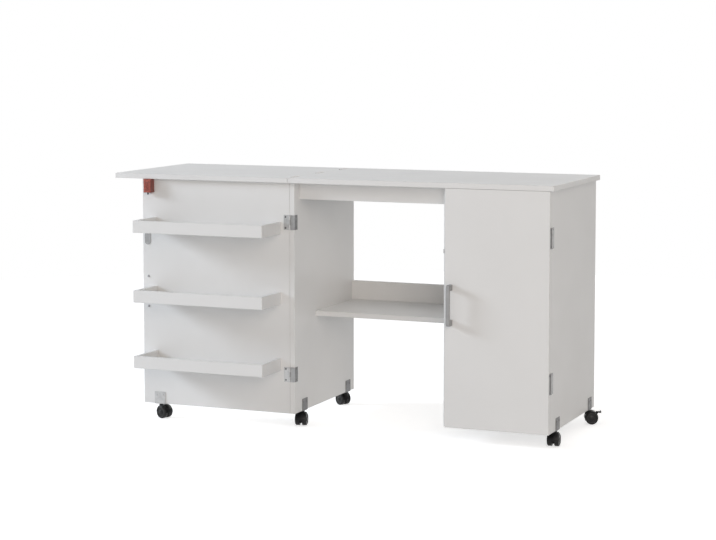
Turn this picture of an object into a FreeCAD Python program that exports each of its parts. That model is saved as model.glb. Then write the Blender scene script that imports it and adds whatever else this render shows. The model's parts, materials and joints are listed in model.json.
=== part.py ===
import FreeCAD, Part
import os
import re

import Sketcher

# Folding sewing and cutting table: a wheeled cabinet with a kneehole on the left, a gate door with
# trays that swings out to stand under a fold-over leaf, and a closed compartment on the right.
# Cabinet frame: X from the left side panel's outer face, Y from the panels' front edges towards the
# back, Z from the lower ends of the panels. The finished part stands on the floor at Z = 0 with its
# origin under the middle of its bounding box.

SIZES = {
    # carcass
    "board": (16, "melamine board of the carcass, the doors and the top"),
    "edge_round": (0.8, "rounding of the banded board edges"),
    "cabinet_width": (840, "over the two side panels"),
    "cabinet_depth": (476, "side panels, front to back"),
    "panel_height": (720, "side panels, bottom to top"),
    "floor_gap": (46, "floor to the lower ends of the panels"),
    "kneehole_width": (490, "clear width between the left panel and the divider"),
    "rail_height": (53, "top rails of the kneehole"),
    "rail_setback": (36, "front top rail behind the panels' front edges"),
    "shelf_setback": (161, "kneehole shelf behind the panels' front edges"),
    "shelf_top": (303, "upper face of the kneehole shelf"),
    "back_rail_height": (62, "rail that stands on the back of the kneehole shelf"),
    # right compartment
    "back_panel": (3, "hardboard back of the right compartment"),
    "back_panel_margin": (2, "back panel inside the cabinet's outline"),
    "shelf_play": (1.5, "side play of a loose shelf"),
    "shelf_front_gap": (25, "loose shelf behind the panels' front edges"),
    "shelf_rear_gap": (2, "loose shelf in front of the panels' back edges"),
    "pin_row_pitch": (32, "height between two rows of shelf pin holes"),
    "pin_row_start": (176, "height of the lowest row of shelf pin holes"),
    "pin_rows": (13, "rows of shelf pin holes"),
    "low_shelf_rows": (2, "rows below the one that carries the low shelf"),
    "high_shelf_rows": (9, "rows below the one that carries the high shelf"),
    "pin_inset": (52, "pin holes from the front and back edges of a panel"),
    "pin_radius": (2.5, "shelf pin"),
    "pin_collar": (4, "radius of the collar on a shelf pin"),
    "pin_collar_width": (1, "thickness of the collar on a shelf pin"),
    "pin_depth": (9, "shelf pin inside the panel"),
    "pin_reach": (9, "shelf pin outside the panel"),
    # top
    "right_overhang": (12, "top beyond the right side panel"),
    "leaf_length": (602, "folding leaf, from the fold line to its free end"),
    "seam_gap": (0.6, "between the leaf and the fixed top"),
    # doors
    "door_gap": (2, "between the two closed doors"),
    "door_top_gap": (0.6, "above the doors"),
    "door_stand_off": (1, "between the right door and the carcass"),
    "hinge_side_gap": (0.5, "between the left door's hinge edge and the side panel"),
    # door trays
    "tray_length": (444, "tray, end to end"),
    "tray_inset": (31, "trays from the hinge line"),
    "tray_depth": (137, "tray, from the door's face to its front"),
    "tray_height": (38, "tray boards"),
    "tray_board": (12, "thickness of the tray boards"),
    "tray_floor": (6, "thickness of the tray bottoms"),
    "low_tray": (134, "underside of the low tray"),
    "middle_tray": (341, "underside of the middle tray"),
    "top_tray": (560, "underside of the top tray"),
    "tray_screw_spacing": (18, "between the two screws of a tray end"),
    # door hinges
    "hinge_plate": (1.2, "sheet of the hinge leaves"),
    "hinge_knuckle": (2.2, "outer radius of a hinge barrel"),
    "hinge_pin": (1.2, "radius of a hinge pin"),
    "pin_play": (0.05, "radial play of a pin in the barrel that turns on it"),
    "knuckle_play": (0.4, "free space round a hinge barrel and between two barrels"),
    "knuckle_stand_off": (0.3, "hinge barrel off the face it lies along"),
    "wrap_hinge_height": (46, "left door hinge"),
    "wrap_hinge_end": (123, "centre of a left door hinge from the end of the panel"),
    "wrap_hinge_width": (20, "left door hinge leaf on the door"),
    "wrap_depth": (20, "left door hinge leaf along the panel's inner face"),
    "side_hinge_height": (62, "right door hinge"),
    "side_hinge_below": (139, "centre of the upper right door hinge below the panel's top"),
    "side_hinge_above": (150, "centre of the lower right door hinge above the panel's lower end"),
    "side_hinge_width": (22, "right door hinge leaf on the side panel"),
    "side_hinge_edge": (14, "right door hinge leaf on the door's edge"),
    "hinge_screw_edge": (6, "screws of a door hinge from the ends of its leaf"),
    # leaf hinges
    "flap_plate": (1.5, "plate of a leaf hinge"),
    "flap_width": (24, "leaf hinge plate across the fold line"),
    "flap_length": (60, "leaf hinge along the fold line"),
    "flap_knuckle": (2, "outer radius of a leaf hinge barrel"),
    "flap_pin": (1, "radius of a leaf hinge pin"),
    "flap_rise": (0.3, "fold line above the top's surface"),
    "flap_inset": (58, "centre of the outer leaf hinges from the edges of the top"),
    # handles
    "handle_length": (124, "handle, end to end"),
    "handle_foot": (18, "height of a handle's foot"),
    "handle_bar": (9, "thickness of the handle's grip"),
    "handle_width": (11, "handle across"),
    "handle_reach": (30, "handle off the door"),
    "handle_round": (9, "outer corners of the handle"),
    "handle_edge": (1.5, "rounding along the handle"),
    "handle_pitch": (96, "between the screws of a handle"),
    "handle_from_edge": (19, "handle's middle from the free edge of its door"),
    "left_handle_height": (360, "middle of the left door's handle"),
    "right_handle_height": (371, "middle of the right door's handle"),
    # leaf lock
    "lock_width": (26, "lock housing across"),
    "lock_height": (43, "lock housing, top to bottom"),
    "lock_depth": (25, "lock housing off the door"),
    "lock_round": (3, "rounding of the lock housing"),
    "lock_from_edge": (15.5, "lock housing from the door's free edge"),
    "bolt_radius": (2.5, "lock bolt"),
    "bolt_play": (0.08, "radial play of the lock bolt"),
    "bolt_inset": (8, "bolt's axis from the outer side of the housing"),
    "bolt_off_door": (9.5, "bolt's axis from the door's face"),
    "bolt_tip": (7, "bolt below the housing when it is drawn back"),
    "keeper_radius": (3.2, "keeper hole for the bolt"),
    "keeper_depth": (9, "keeper hole for the bolt"),
    # catches
    "strike_width": (20, "strike plate across"),
    "strike_height": (41, "strike plate, top to bottom"),
    "strike_plate": (1.2, "strike plate's thickness"),
    "strike_round": (9, "corners of the strike plate"),
    "strike_low": (509, "lower end of the strike plates"),
    "strike_from_edge": (7, "strike plate from the free edge of the left door"),
    "catch_width": (2.5, "magnetic catch across"),
    "catch_height": (24, "magnetic catch, top to bottom"),
    "catch_depth": (28, "magnetic catch, front to back"),
    "catch_gap": (0.5, "closed strike plate to the magnetic catch"),
    # casters
    "wheel_radius": (20, "caster wheel"),
    "wheel_width": (14, "caster wheel"),
    "wheel_round": (3, "shoulders of the tread"),
    "wheel_gap": (8.6, "between the two wheels of a caster"),
    "caster_trail": (14, "wheel axle behind the swivel axis"),
    "axle_radius": (3, "wheel axle"),
    "axle_play": (0.05, "radial play of the axle in the hood"),
    "stem_radius": (3.5, "swivel stem"),
    "stem_play": (0.05, "radial play of the stem in its socket"),
    "stem_length": (30, "swivel stem above the panel's end"),
    "socket_wall": (1.45, "tube that holds the stem inside the board"),
    "socket_headroom": (2, "socket above the stem"),
    "bracket_plate": (1.6, "sheet of the caster bracket"),
    "bracket_width": (38, "caster bracket along the board"),
    "bracket_height": (38, "flanges of the caster bracket"),
    "bracket_notch": (0.5, "space round a bracket flange in the cabinet bottom"),
    "bracket_screw_height": (27, "bracket screws above the panel's end"),
    "bracket_screw_spacing": (22, "between the two screws of a flange"),
    "swivel_gap": (0.4, "between the bracket and the hood"),
    "hood_wall": (1.8, "mudguard of the hood"),
    "hood_gap": (0.8, "between a wheel and the hood"),
    "hood_width": (30, "mudguard across"),
    "hood_bottom": (10, "lower edge of the hood's web above the floor"),
    "boss_radius": (7, "swivel boss of the hood"),
    "web_width": (7.6, "web of the hood between the wheels"),
    "front_caster": (75, "front swivel axes from the panels' front edges"),
    "rear_caster": (52, "rear swivel axes from the panels' back edges"),
    "door_caster": (57, "door's swivel axis from the door's free edge"),
    # brake levers
    "lever_pivot_out": (17.3, "lever pivot beyond the wheel axle"),
    "lever_pivot_up": (16.6, "lever pivot above the wheel axle"),
    "lever_pin": (1.5, "radius of the lever's pin"),
    "lever_ear": (4, "radius of the hood's ear round the pin"),
    "lever_cheek": (2, "thickness of a lever cheek"),
    "lever_reach": (30, "lever tip beyond the wheel axle"),
    "lever_width": (22, "lever pedal across"),
    "lever_plate": (2.4, "thickness of the lever pedal"),
    # rest directions of the casters, in degrees from +X
    "left_front_swivel": (-78, "left front caster"),
    "left_rear_swivel": (150, "left rear caster"),
    "right_front_swivel": (-85, "right front caster"),
    "right_rear_swivel": (22, "right rear caster"),
    "door_swivel": (-17, "door caster"),
    # fasteners
    "wood_screw": (1.5, "radius of a countersunk wood screw"),
    "wood_screw_head": (3, "radius of its head"),
    "wood_screw_length": (12, "its length"),
    "pan_screw_head": (3, "radius of a bracket screw's head"),
    "pan_screw_rise": (1.6, "height of a bracket screw's head"),
    "pan_screw_length": (8, "bracket screw under its head"),
    "door_screw": (2.1, "radius of a screw that goes through a door"),
    "door_screw_head": (3.8, "radius of its countersunk head"),
    "door_screw_grip": (22, "length beyond the door"),
    "lock_screw_grip": (12, "length beyond the door of a lock screw"),
    "handle_screw": (2, "radius of a handle screw"),
    "handle_screw_head": (4, "radius of its pan head"),
    "handle_screw_rise": (2.4, "height of its pan head"),
    "handle_screw_grip": (9, "length inside the handle's foot"),
}

# Places that several pieces share, as formulas over the sizes.
DIVIDER = "(board + kneehole_width)"
COMPARTMENT = "(cabinet_width - 3 * board - kneehole_width)"
TOP_FRONT = "(-(door_stand_off + board))"
TOP_DEPTH = "(door_stand_off + board + cabinet_depth + back_panel)"
DOOR_HEIGHT = "(panel_height - door_top_gap)"
DOORS_MEET = "(kneehole_width + 1.5 * board)"
LEFT_DOOR_WIDTH = f"({DOORS_MEET} - door_gap / 2 - hinge_side_gap)"
LEFT_DOOR_FREE = f"(-(hinge_side_gap + {LEFT_DOOR_WIDTH}))"
RIGHT_DOOR_FREE = f"({DOORS_MEET} + door_gap / 2)"
RIGHT_DOOR_WIDTH = f"(cabinet_width - {RIGHT_DOOR_FREE})"
HINGE_OFF = "(hinge_knuckle + knuckle_stand_off)"
SIDE_HINGE_Y = "(-door_stand_off / 2)"
AXLE_DROP = "(floor_gap - wheel_radius)"
BOSS_TOP = "(bracket_plate + swivel_gap)"
HOOD_INNER = "(wheel_radius + hood_gap)"
HOOD_OUTER = "(wheel_radius + hood_gap + hood_wall)"
SOCKET_RADIUS = "(stem_radius + stem_play + socket_wall)"
SOCKET_LENGTH = "(stem_length + socket_headroom)"
LEVER_TIP = (
    "(cabinet_width - board / 2 + (caster_trail + lever_reach) * cos(right_rear_swivel)"
    " + lever_width / 2 * sin(right_rear_swivel))"
)
FRAME_X = f"(({LEVER_TIP} - leaf_length) / 2)"
FRAME_Y = "((cabinet_depth + back_panel - tray_depth) / 2)"

# Directions in which a screw is driven; the template points down.
X_AXIS = FreeCAD.Vector(1, 0, 0)
Y_AXIS = FreeCAD.Vector(0, 1, 0)
Z_AXIS = FreeCAD.Vector(0, 0, 1)
DRIVEN = {
    "down": FreeCAD.Rotation(X_AXIS, 0),
    "back": FreeCAD.Rotation(X_AXIS, 90),
    "front": FreeCAD.Rotation(X_AXIS, -90),
    "right": FreeCAD.Rotation(Y_AXIS, -90),
    "left": FreeCAD.Rotation(Y_AXIS, 90),
}

doc = FreeCAD.newDocument("SewingTable")
sheet = doc.addObject("Spreadsheet::Sheet", "Sizes")
nodes = []


def fill_sheet():
    for row, (name, (value, note)) in enumerate(SIZES.items(), start=1):
        sheet.set(f"A{row}", name)
        sheet.set(f"B{row}", str(value))
        sheet.set(f"C{row}", note)
        sheet.setAlias(f"B{row}", name)
    doc.recompute()


def spelled(formula):
    """Write a formula over the sizes the way the document reads it."""
    def cell(word):
        return "Sizes." + word.group() if word.group() in SIZES else word.group()
    return re.sub(r"[a-z][a-z_]*", cell, str(formula))


def bind(thing, path, formula):
    thing.setExpression(path, spelled(formula))


def locate(thing, x=0, y=0, z=0, turn=None):
    """Place a piece in the frame of the sub-part that it belongs to."""
    if turn is not None:
        thing.Placement.Rotation = turn
    for letter, formula in zip("xyz", (x, y, z)):
        bind(thing, ".Placement.Base." + letter, formula)
    return thing


def stand(thing, x, y, z, turn=None):
    """Place a piece by its cabinet coordinates in the finished part."""
    return locate(thing, f"{x} - {FRAME_X}", f"{y} - {FRAME_Y}", f"{z} + floor_gap", turn)


def node(label, thing):
    """Name a finished sub-part, which then has a file of its own."""
    thing.Label = label
    nodes.append(thing)
    return thing


def block(length, depth, height):
    box = doc.addObject("Part::Box", "Block")
    for path, formula in (("Length", length), ("Width", depth), ("Height", height)):
        bind(box, path, formula)
    return box


def rod(radius, length):
    """A round bar that stands on its own origin."""
    bar = doc.addObject("Part::Cylinder", "Rod")
    bind(bar, "Radius", radius)
    bind(bar, "Height", length)
    return bar


def cross_rod(radius, length, x=0, z=0):
    """A round bar along Y whose middle is at Y = 0."""
    return locate(rod(radius, length), x, f"-({length}) / 2", z, DRIVEN["front"])


def cone(wide, narrow, height):
    """A cone that stands on its narrow end."""
    taper = doc.addObject("Part::Cone", "Cone")
    for path, formula in (("Radius1", narrow), ("Radius2", wide), ("Height", height)):
        bind(taper, path, formula)
    return taper


def fuse(*pieces):
    union = doc.addObject("Part::MultiFuse", "Fusion")
    union.Shapes = list(pieces)
    return union


def cut(base, *tools):
    remainder = doc.addObject("Part::Cut", "Cut")
    remainder.Base = base
    remainder.Tool = tools[0] if len(tools) == 1 else fuse(*tools)
    return remainder


def copy(template):
    link = doc.addObject("App::Link", "Copy")
    link.LinkedObject = template
    return link


def group(*pieces):
    """Several separate solids that share one node."""
    compound = doc.addObject("Part::Compound", "Group")
    compound.Links = list(pieces)
    return compound


def plane_of(body, role):
    return next(plane for plane in body.Origin.OriginFeatures if plane.Role == role)


def outline(body, role, corners):
    """A closed sketch through corners whose coordinates are formulas over the sizes."""
    sketch = body.newObject("Sketcher::SketchObject", "Outline")
    sketch.AttachmentSupport = [(plane_of(body, role), "")]
    sketch.MapMode = "FlatFace"
    count = len(corners)
    for index in range(count):
        start = FreeCAD.Vector(index, index * index, 0)
        following = (index + 1) % count
        end = FreeCAD.Vector(following, following * following, 0)
        sketch.addGeometry(Part.LineSegment(start, end), False)
    for index in range(count):
        sketch.addConstraint(Sketcher.Constraint("Coincident", index, 2, (index + 1) % count, 1))
    for index, corner in enumerate(corners):
        for letter, formula in zip("XY", corner):
            label = f"{letter.lower()}_{index}"
            number = sketch.addConstraint(
                Sketcher.Constraint("Distance" + letter, -1, 1, index, 1, float(index + 1)))
            sketch.renameConstraint(number, label)
            bind(sketch, "Constraints." + label, formula)
    return sketch


def pad(body, sketch, length, midplane=False):
    feature = body.newObject("PartDesign::Pad", "Pad")
    feature.Profile = sketch
    feature.Midplane = midplane
    bind(feature, "Length", length)
    return feature


def rectangle(width, height):
    return (("0", "0"), (width, "0"), (width, height), ("0", height))


def round_edges(body, base, radius, chosen=None):
    """Round every edge of a body, or the edges that chosen picks by their middle and direction."""
    fillet = body.newObject("PartDesign::Fillet", "Rounding")
    if chosen is None:
        fillet.Base = (base, [""])
        fillet.UseAllEdges = True
    else:
        doc.recompute()
        names = [f"Edge{number}" for number, edge in enumerate(base.Shape.Edges, start=1) if chosen(edge)]
        fillet.Base = (base, names)
    bind(fillet, "Radius", radius)
    return fillet


def board(width, depth, height):
    """A banded board whose left front lower corner is at its own origin."""
    body = doc.addObject("PartDesign::Body", "Board")
    slab = pad(body, outline(body, "XY_Plane", rectangle(width, depth)), height)
    round_edges(body, slab, "edge_round")
    return body


def runs_along(edge, axis):
    return edge.tangentAt(edge.FirstParameter).cross(axis).Length < 1e-6


# ---------------------------------------------------------------- fasteners

def countersunk(radius, head, length):
    """A screw whose flat head is at Z = 0 and whose point is below."""
    taper = locate(cone(head, radius, f"{head} - {radius}"), 0, 0, f"-({head} - {radius})")
    shank = locate(rod(radius, length), 0, 0, f"-({length})")
    return fuse(taper, shank)


def pan_headed(radius, head, rise, length):
    """A screw whose head stands on Z = 0 and whose point is below."""
    shank = locate(rod(radius, f"{length} + {rise} / 2"), 0, 0, f"-({length})")
    return fuse(rod(head, rise), shank)


def driven(template, places):
    """Copies of a screw at cabinet places, each an x, y, z and a direction."""
    return [stand(copy(template), x, y, z, DRIVEN[way]) for x, y, z, way in places]


def wood_screw():
    return countersunk("wood_screw", "wood_screw_head", "wood_screw_length")


def pan_screw():
    return pan_headed("wood_screw", "pan_screw_head", "pan_screw_rise", "pan_screw_length")


def handle_screw():
    return pan_headed("handle_screw", "handle_screw_head", "handle_screw_rise",
                      "board + handle_screw_grip")


# ---------------------------------------------------------------- places of the hardware

WRAP_HINGES = ("(wrap_hinge_end - wrap_hinge_height / 2)",
               "(panel_height - wrap_hinge_end - wrap_hinge_height / 2)")
SIDE_HINGES = ("(side_hinge_above - side_hinge_height / 2)",
               "(panel_height - side_hinge_below - side_hinge_height / 2)")
FLAP_HINGES = (
    f"({TOP_FRONT} + flap_inset - flap_length / 2)",
    f"({TOP_FRONT} + {TOP_DEPTH} / 2 - flap_length / 2)",
    f"({TOP_FRONT} + {TOP_DEPTH} - flap_inset - flap_length / 2)",
)
TRAYS = {"low": "low_tray", "middle": "middle_tray", "top": "top_tray"}
CASTERS = {
    "left_front": ("board / 2", "front_caster", "left_front_swivel", 90),
    "left_rear": ("board / 2", "(cabinet_depth - rear_caster)", "left_rear_swivel", 90),
    "right_front": ("(cabinet_width - board / 2)", "front_caster", "right_front_swivel", 90),
    "right_rear": ("(cabinet_width - board / 2)", "(cabinet_depth - rear_caster)",
                   "right_rear_swivel", 90),
    "door": (f"({LEFT_DOOR_FREE} + door_caster)", "board / 2", "door_swivel", 0),
}
BRAKED = ("left_rear", "right_rear")


def hinge_screw_heights(low, height):
    return [f"({low} + hinge_screw_edge)", f"({low} + {height} - hinge_screw_edge)"]


def wrap_door_screws():
    return [("-(wrap_hinge_width - hinge_screw_edge)", "-hinge_plate", z, "back")
            for low in WRAP_HINGES for z in hinge_screw_heights(low, "wrap_hinge_height")]


def wrap_panel_screws():
    return [("board + hinge_plate", "wrap_depth * 3 / 5", z, "left")
            for low in WRAP_HINGES for z in hinge_screw_heights(low, "wrap_hinge_height")]


def side_door_screws():
    return [("cabinet_width + hinge_plate", f"{SIDE_HINGE_Y} - side_hinge_edge * 3 / 5", z, "left")
            for low in SIDE_HINGES for z in hinge_screw_heights(low, "side_hinge_height")]


def side_panel_screws():
    return [("cabinet_width + hinge_plate", f"{SIDE_HINGE_Y} + side_hinge_width * 3 / 5", z, "left")
            for low in SIDE_HINGES for z in hinge_screw_heights(low, "side_hinge_height")]


def flap_screws(side):
    """Screws of the leaf hinges on one side of the fold line, +1 for the fixed top."""
    return [(f"{side} * flap_width * 3 / 5", f"{front} + flap_length * {share}",
             "panel_height + board", "down")
            for front in FLAP_HINGES for share in (0.2, 0.8)]


def bracket_screws(key):
    """Screws of one caster bracket: two in each flange."""
    x, y, _, turned = CASTERS[key]
    off = "(board / 2 + bracket_plate)"
    places = []
    for side, ways in ((-1, ("right", "back")), (1, ("left", "front"))):
        for step in (-1, 1):
            along = f"{step} * bracket_screw_spacing / 2"
            if turned:
                places.append((f"{x} + {side} * {off}", f"{y} + {along}", "bracket_screw_height", ways[0]))
            else:
                places.append((f"{x} + {along}", f"{y} + {side} * {off}", "bracket_screw_height", ways[1]))
    return places


def handle_screws(x, face, way, middle):
    return [(x, face, f"{middle} + {side} * handle_pitch / 2", way) for side in (-1, 1)]


def tray_screws():
    """Screws through the door into the tray ends."""
    places = []
    for low in TRAYS.values():
        for x in ("-(tray_inset + tray_board / 2)", "-(tray_inset + tray_length - tray_board / 2)"):
            for side in (-1, 1):
                z = f"{low} + tray_height / 2 + {side} * tray_screw_spacing / 2"
                places.append((x, "board", z, "front"))
    return places


def lock_screws():
    x = f"{LEFT_DOOR_FREE} + lock_from_edge + lock_width * 2 / 3"
    return [(x, "board", f"{DOOR_HEIGHT} - lock_height * {share}", "front") for share in (0.25, 0.75)]


LEFT_STRIKE_X = f"({LEFT_DOOR_FREE} + strike_from_edge)"
RIGHT_STRIKE_X = f"({DIVIDER} + board + door_gap / 2)"
LEFT_HANDLE_X = f"({LEFT_DOOR_FREE} + handle_from_edge)"
RIGHT_HANDLE_X = f"({RIGHT_DOOR_FREE} + handle_from_edge)"


def make_screws():
    """All screws, one node for each body that they are driven into."""
    small = wood_screw()
    flat = pan_screw()
    grip = handle_screw()
    long = countersunk("door_screw", "door_screw_head", "board + door_screw_grip")
    medium = countersunk("door_screw", "door_screw_head", "board + lock_screw_grip")
    left_strike = [(f"{LEFT_STRIKE_X} + strike_width / 2", "-strike_plate",
                    "strike_low + strike_height / 2", "back")]
    right_strike = [(f"{RIGHT_STRIKE_X} + strike_width / 2", "strike_plate - door_stand_off",
                     "strike_low + strike_height / 2", "front")]
    left_door = (
        driven(small, wrap_door_screws() + left_strike)
        + driven(flat, bracket_screws("door"))
        + driven(grip, handle_screws(LEFT_HANDLE_X, "0", "back", "left_handle_height"))
        + driven(long, tray_screws())
        + driven(medium, lock_screws())
    )
    right_door = (
        driven(small, side_door_screws() + right_strike)
        + driven(grip, handle_screws(RIGHT_HANDLE_X, "-door_stand_off", "front", "right_handle_height"))
    )
    brackets = [place for key in CASTERS if key != "door" for place in bracket_screws(key)]
    cabinet = (
        driven(small, wrap_panel_screws() + side_panel_screws() + flap_screws(1))
        + driven(flat, brackets)
    )
    return {
        "left_door": node("left_door_screws", group(*left_door)),
        "right_door": node("right_door_screws", group(*right_door)),
        "leaf": node("leaf_screws", group(*driven(small, flap_screws(-1)))),
        "cabinet": node("cabinet_screws", group(*cabinet)),
    }


# ---------------------------------------------------------------- boards

def socket_hole(key):
    """Bore in a board's lower end for a caster's stem socket."""
    x, y, _, _ = CASTERS[key]
    return stand(rod(SOCKET_RADIUS, SOCKET_LENGTH), x, y, 0)


def pin_holes(x):
    """Two columns of shelf pin holes, bored from x towards the right."""
    holes = []
    for y in ("pin_inset", "(cabinet_depth - pin_inset)"):
        for row in range(int(SIZES["pin_rows"][0])):
            z = f"pin_row_start + {row} * pin_row_pitch"
            holes.append(stand(rod("pin_radius", "pin_depth"), x, y, z, DRIVEN["left"]))
    return holes


def make_carcass(screws):
    """Side panels, divider, rails, shelf and bottom of the cabinet."""
    upright = ("board", "cabinet_depth", "panel_height")
    left = stand(board(*upright), 0, 0, 0)
    node("left_side_panel",
         cut(left, screws["cabinet"], socket_hole("left_front"), socket_hole("left_rear")))
    divider = stand(board(*upright), DIVIDER, 0, 0)
    node("centre_divider", cut(divider, *pin_holes(f"{DIVIDER} + board - pin_depth")))
    right = stand(board(*upright), "cabinet_width - board", 0, 0)
    node("right_side_panel",
         cut(right, screws["cabinet"], socket_hole("right_front"), socket_hole("right_rear"),
             *pin_holes("cabinet_width - board")))
    rail = ("kneehole_width", "board", "rail_height")
    rail_low = "panel_height - rail_height"
    node("front_top_rail", stand(board(*rail), "board", "rail_setback", rail_low))
    node("rear_top_rail", stand(board(*rail), "board", "cabinet_depth - board", rail_low))
    node("kneehole_shelf",
         stand(board("kneehole_width", "cabinet_depth - shelf_setback", "board"),
               "board", "shelf_setback", "shelf_top - board"))
    node("kneehole_back_rail",
         stand(board("kneehole_width", "board", "back_rail_height"),
               "board", "cabinet_depth - board", "shelf_top"))
    bottom = stand(board(COMPARTMENT, "cabinet_depth", "board"), f"{DIVIDER} + board", 0, 0)
    notch_depth = "bracket_plate + bracket_notch"
    notches = []
    for key in ("right_front", "right_rear"):
        notch = block(notch_depth, "bracket_width + 2 * bracket_notch", "board")
        y = f"{CASTERS[key][1]} - bracket_width / 2 - bracket_notch"
        notches.append(stand(notch, f"cabinet_width - board - ({notch_depth})", y, 0))
    node("cabinet_bottom", cut(bottom, *notches))


def make_compartment():
    """Back panel, loose shelves and shelf pins of the right compartment."""
    back = board(f"{COMPARTMENT} + 2 * (board - back_panel_margin)", "back_panel",
                 "panel_height - 2 * back_panel_margin")
    node("cabinet_back_panel",
         stand(back, f"{DIVIDER} + back_panel_margin", "cabinet_depth", "back_panel_margin"))
    pin = fuse(rod("pin_radius", "pin_depth + pin_reach"),
               locate(rod("pin_collar", "pin_collar_width"), 0, 0, "pin_depth"))
    shelves = []
    pins = []
    for rows in ("low_shelf_rows", "high_shelf_rows"):
        row_height = f"(pin_row_start + {rows} * pin_row_pitch)"
        shelf = board(f"{COMPARTMENT} - 2 * shelf_play",
                      "cabinet_depth - shelf_front_gap - shelf_rear_gap", "board")
        shelves.append(stand(shelf, f"{DIVIDER} + board + shelf_play", "shelf_front_gap",
                             f"{row_height} + pin_radius"))
        for y in ("pin_inset", "cabinet_depth - pin_inset"):
            pins.append(stand(copy(pin), f"{DIVIDER} + board - pin_depth", y, row_height,
                              DRIVEN["left"]))
            pins.append(stand(copy(pin), "cabinet_width - board + pin_depth", y, row_height,
                              DRIVEN["right"]))
    node("cabinet_shelves", group(*shelves))
    node("shelf_pins", group(*pins))


def seam_recess(front, side):
    """Let-in seat of one leaf hinge on one side of the fold line, +1 for the fixed top."""
    surface = "(panel_height + board)"
    seat = block("flap_width", "flap_length", "flap_plate")
    trough_width = "(flap_knuckle + knuckle_play)"
    trough_depth = f"({trough_width} - flap_rise)"
    trough = block(trough_width, "flap_length + 2 * knuckle_play", trough_depth)
    seat_x = "0" if side > 0 else "-flap_width"
    trough_x = "0" if side > 0 else f"-{trough_width}"
    return [stand(seat, seat_x, front, f"{surface} - flap_plate"),
            stand(trough, trough_x, f"{front} - knuckle_play", f"{surface} - {trough_depth}")]


def keeper(x, y):
    """Hole in the underside of the top for the lock bolt."""
    return stand(rod("keeper_radius", "keeper_depth"), x, y, "panel_height")


BOLT_X = f"({LEFT_DOOR_FREE} + lock_from_edge + bolt_inset)"


def make_top(screws):
    """Fixed top and folding leaf."""
    fixed = stand(board("cabinet_width + right_overhang - seam_gap / 2", TOP_DEPTH, "board"),
                  "seam_gap / 2", TOP_FRONT, "panel_height")
    leaf = stand(board("leaf_length - seam_gap / 2", TOP_DEPTH, "board"),
                 "-leaf_length", TOP_FRONT, "panel_height")
    fixed_cuts = [screws["cabinet"], keeper(f"-{BOLT_X}", f"bolt_off_door - 2 * {HINGE_OFF}")]
    leaf_cuts = [screws["leaf"], keeper(BOLT_X, "-bolt_off_door")]
    for front in FLAP_HINGES:
        fixed_cuts += seam_recess(front, 1)
        leaf_cuts += seam_recess(front, -1)
    node("tabletop_main", cut(fixed, *fixed_cuts))
    node("tabletop_leaf", cut(leaf, *leaf_cuts))


def make_doors(screws):
    """The two door panels."""
    left = stand(board(LEFT_DOOR_WIDTH, "board", DOOR_HEIGHT), LEFT_DOOR_FREE, 0, 0)
    node("left_door_panel", cut(left, screws["left_door"], socket_hole("door")))
    right = stand(board(RIGHT_DOOR_WIDTH, "board", DOOR_HEIGHT), RIGHT_DOOR_FREE, TOP_FRONT, 0)
    node("right_door_panel", cut(right, screws["right_door"]))


def make_trays(screws):
    """Three trays on the inner face of the left door."""
    inner_depth = "(tray_depth - tray_board)"
    left_end = "-(tray_inset + tray_length)"
    for name, low in TRAYS.items():
        node(f"{name}_tray_front",
             stand(board("tray_length", "tray_board", "tray_height"), left_end, "-tray_depth", low))
        ends = [stand(board("tray_board", inner_depth, "tray_height"), x, f"-{inner_depth}", low)
                for x in (left_end, "-(tray_inset + tray_board)")]
        node(f"{name}_tray_ends", cut(group(*ends), screws["left_door"]))
        node(f"{name}_tray_bottom",
             stand(board("tray_length - 2 * tray_board", inner_depth, "tray_floor"),
                   f"{left_end} + tray_board", f"-{inner_depth}", low))


# ---------------------------------------------------------------- hinges

def barrels(height, radius, outer):
    """Hinge barrels along Z on the hinge axis: the outer pair, or the one between them."""
    third = f"({height} / 3)"
    if outer:
        length = f"({third} - knuckle_play / 2)"
        return [rod(radius, length), locate(rod(radius, length), 0, 0, f"{height} - {length}")]
    return [locate(rod(radius, f"{third} - knuckle_play"), 0, 0, f"{third} + knuckle_play / 2")]


def bridges(height, radius, plate, off, outer, side):
    """Strips that carry a leaf's plate to its barrels; side is -1 for a leaf that lies at -X."""
    reach = f"({radius} + knuckle_play + {plate})"
    x = "0" if side > 0 else f"-{reach}"
    third = f"({height} / 3)"
    if outer:
        length = f"({third} - knuckle_play / 2)"
        spans = ((0, length), (f"{height} - {length}", length))
    else:
        spans = ((f"{third} + knuckle_play / 2", f"{third} - knuckle_play"),)
    return [locate(block(reach, plate, length), x, f"{off} - {plate}", low) for low, length in spans]


def hinge_leaf(height, radius, plate, off, width, outer, side):
    """A hinge leaf with its barrels; the axis is Z, and the plate's back lies at Y = off."""
    start = f"({radius} + knuckle_play)"
    x = start if side > 0 else f"-({width})"
    flat = locate(block(f"{width} - {start}", plate, height), x, f"{off} - {plate}", 0)
    return [flat] + barrels(height, radius, outer) + bridges(height, radius, plate, off, outer, side)


def bored(pieces, radius, height):
    """Fuse a hinge leaf's pieces and bore its barrels."""
    return cut(fuse(*pieces), rod(radius, height))


def hinges(label, leaf, places, screws):
    """Copies of a hinge leaf at their places, with their screw holes; a place is x, y, z, turn."""
    leaves = [stand(copy(leaf), *place) for place in places]
    return node(label, cut(group(*leaves), screws))


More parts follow.
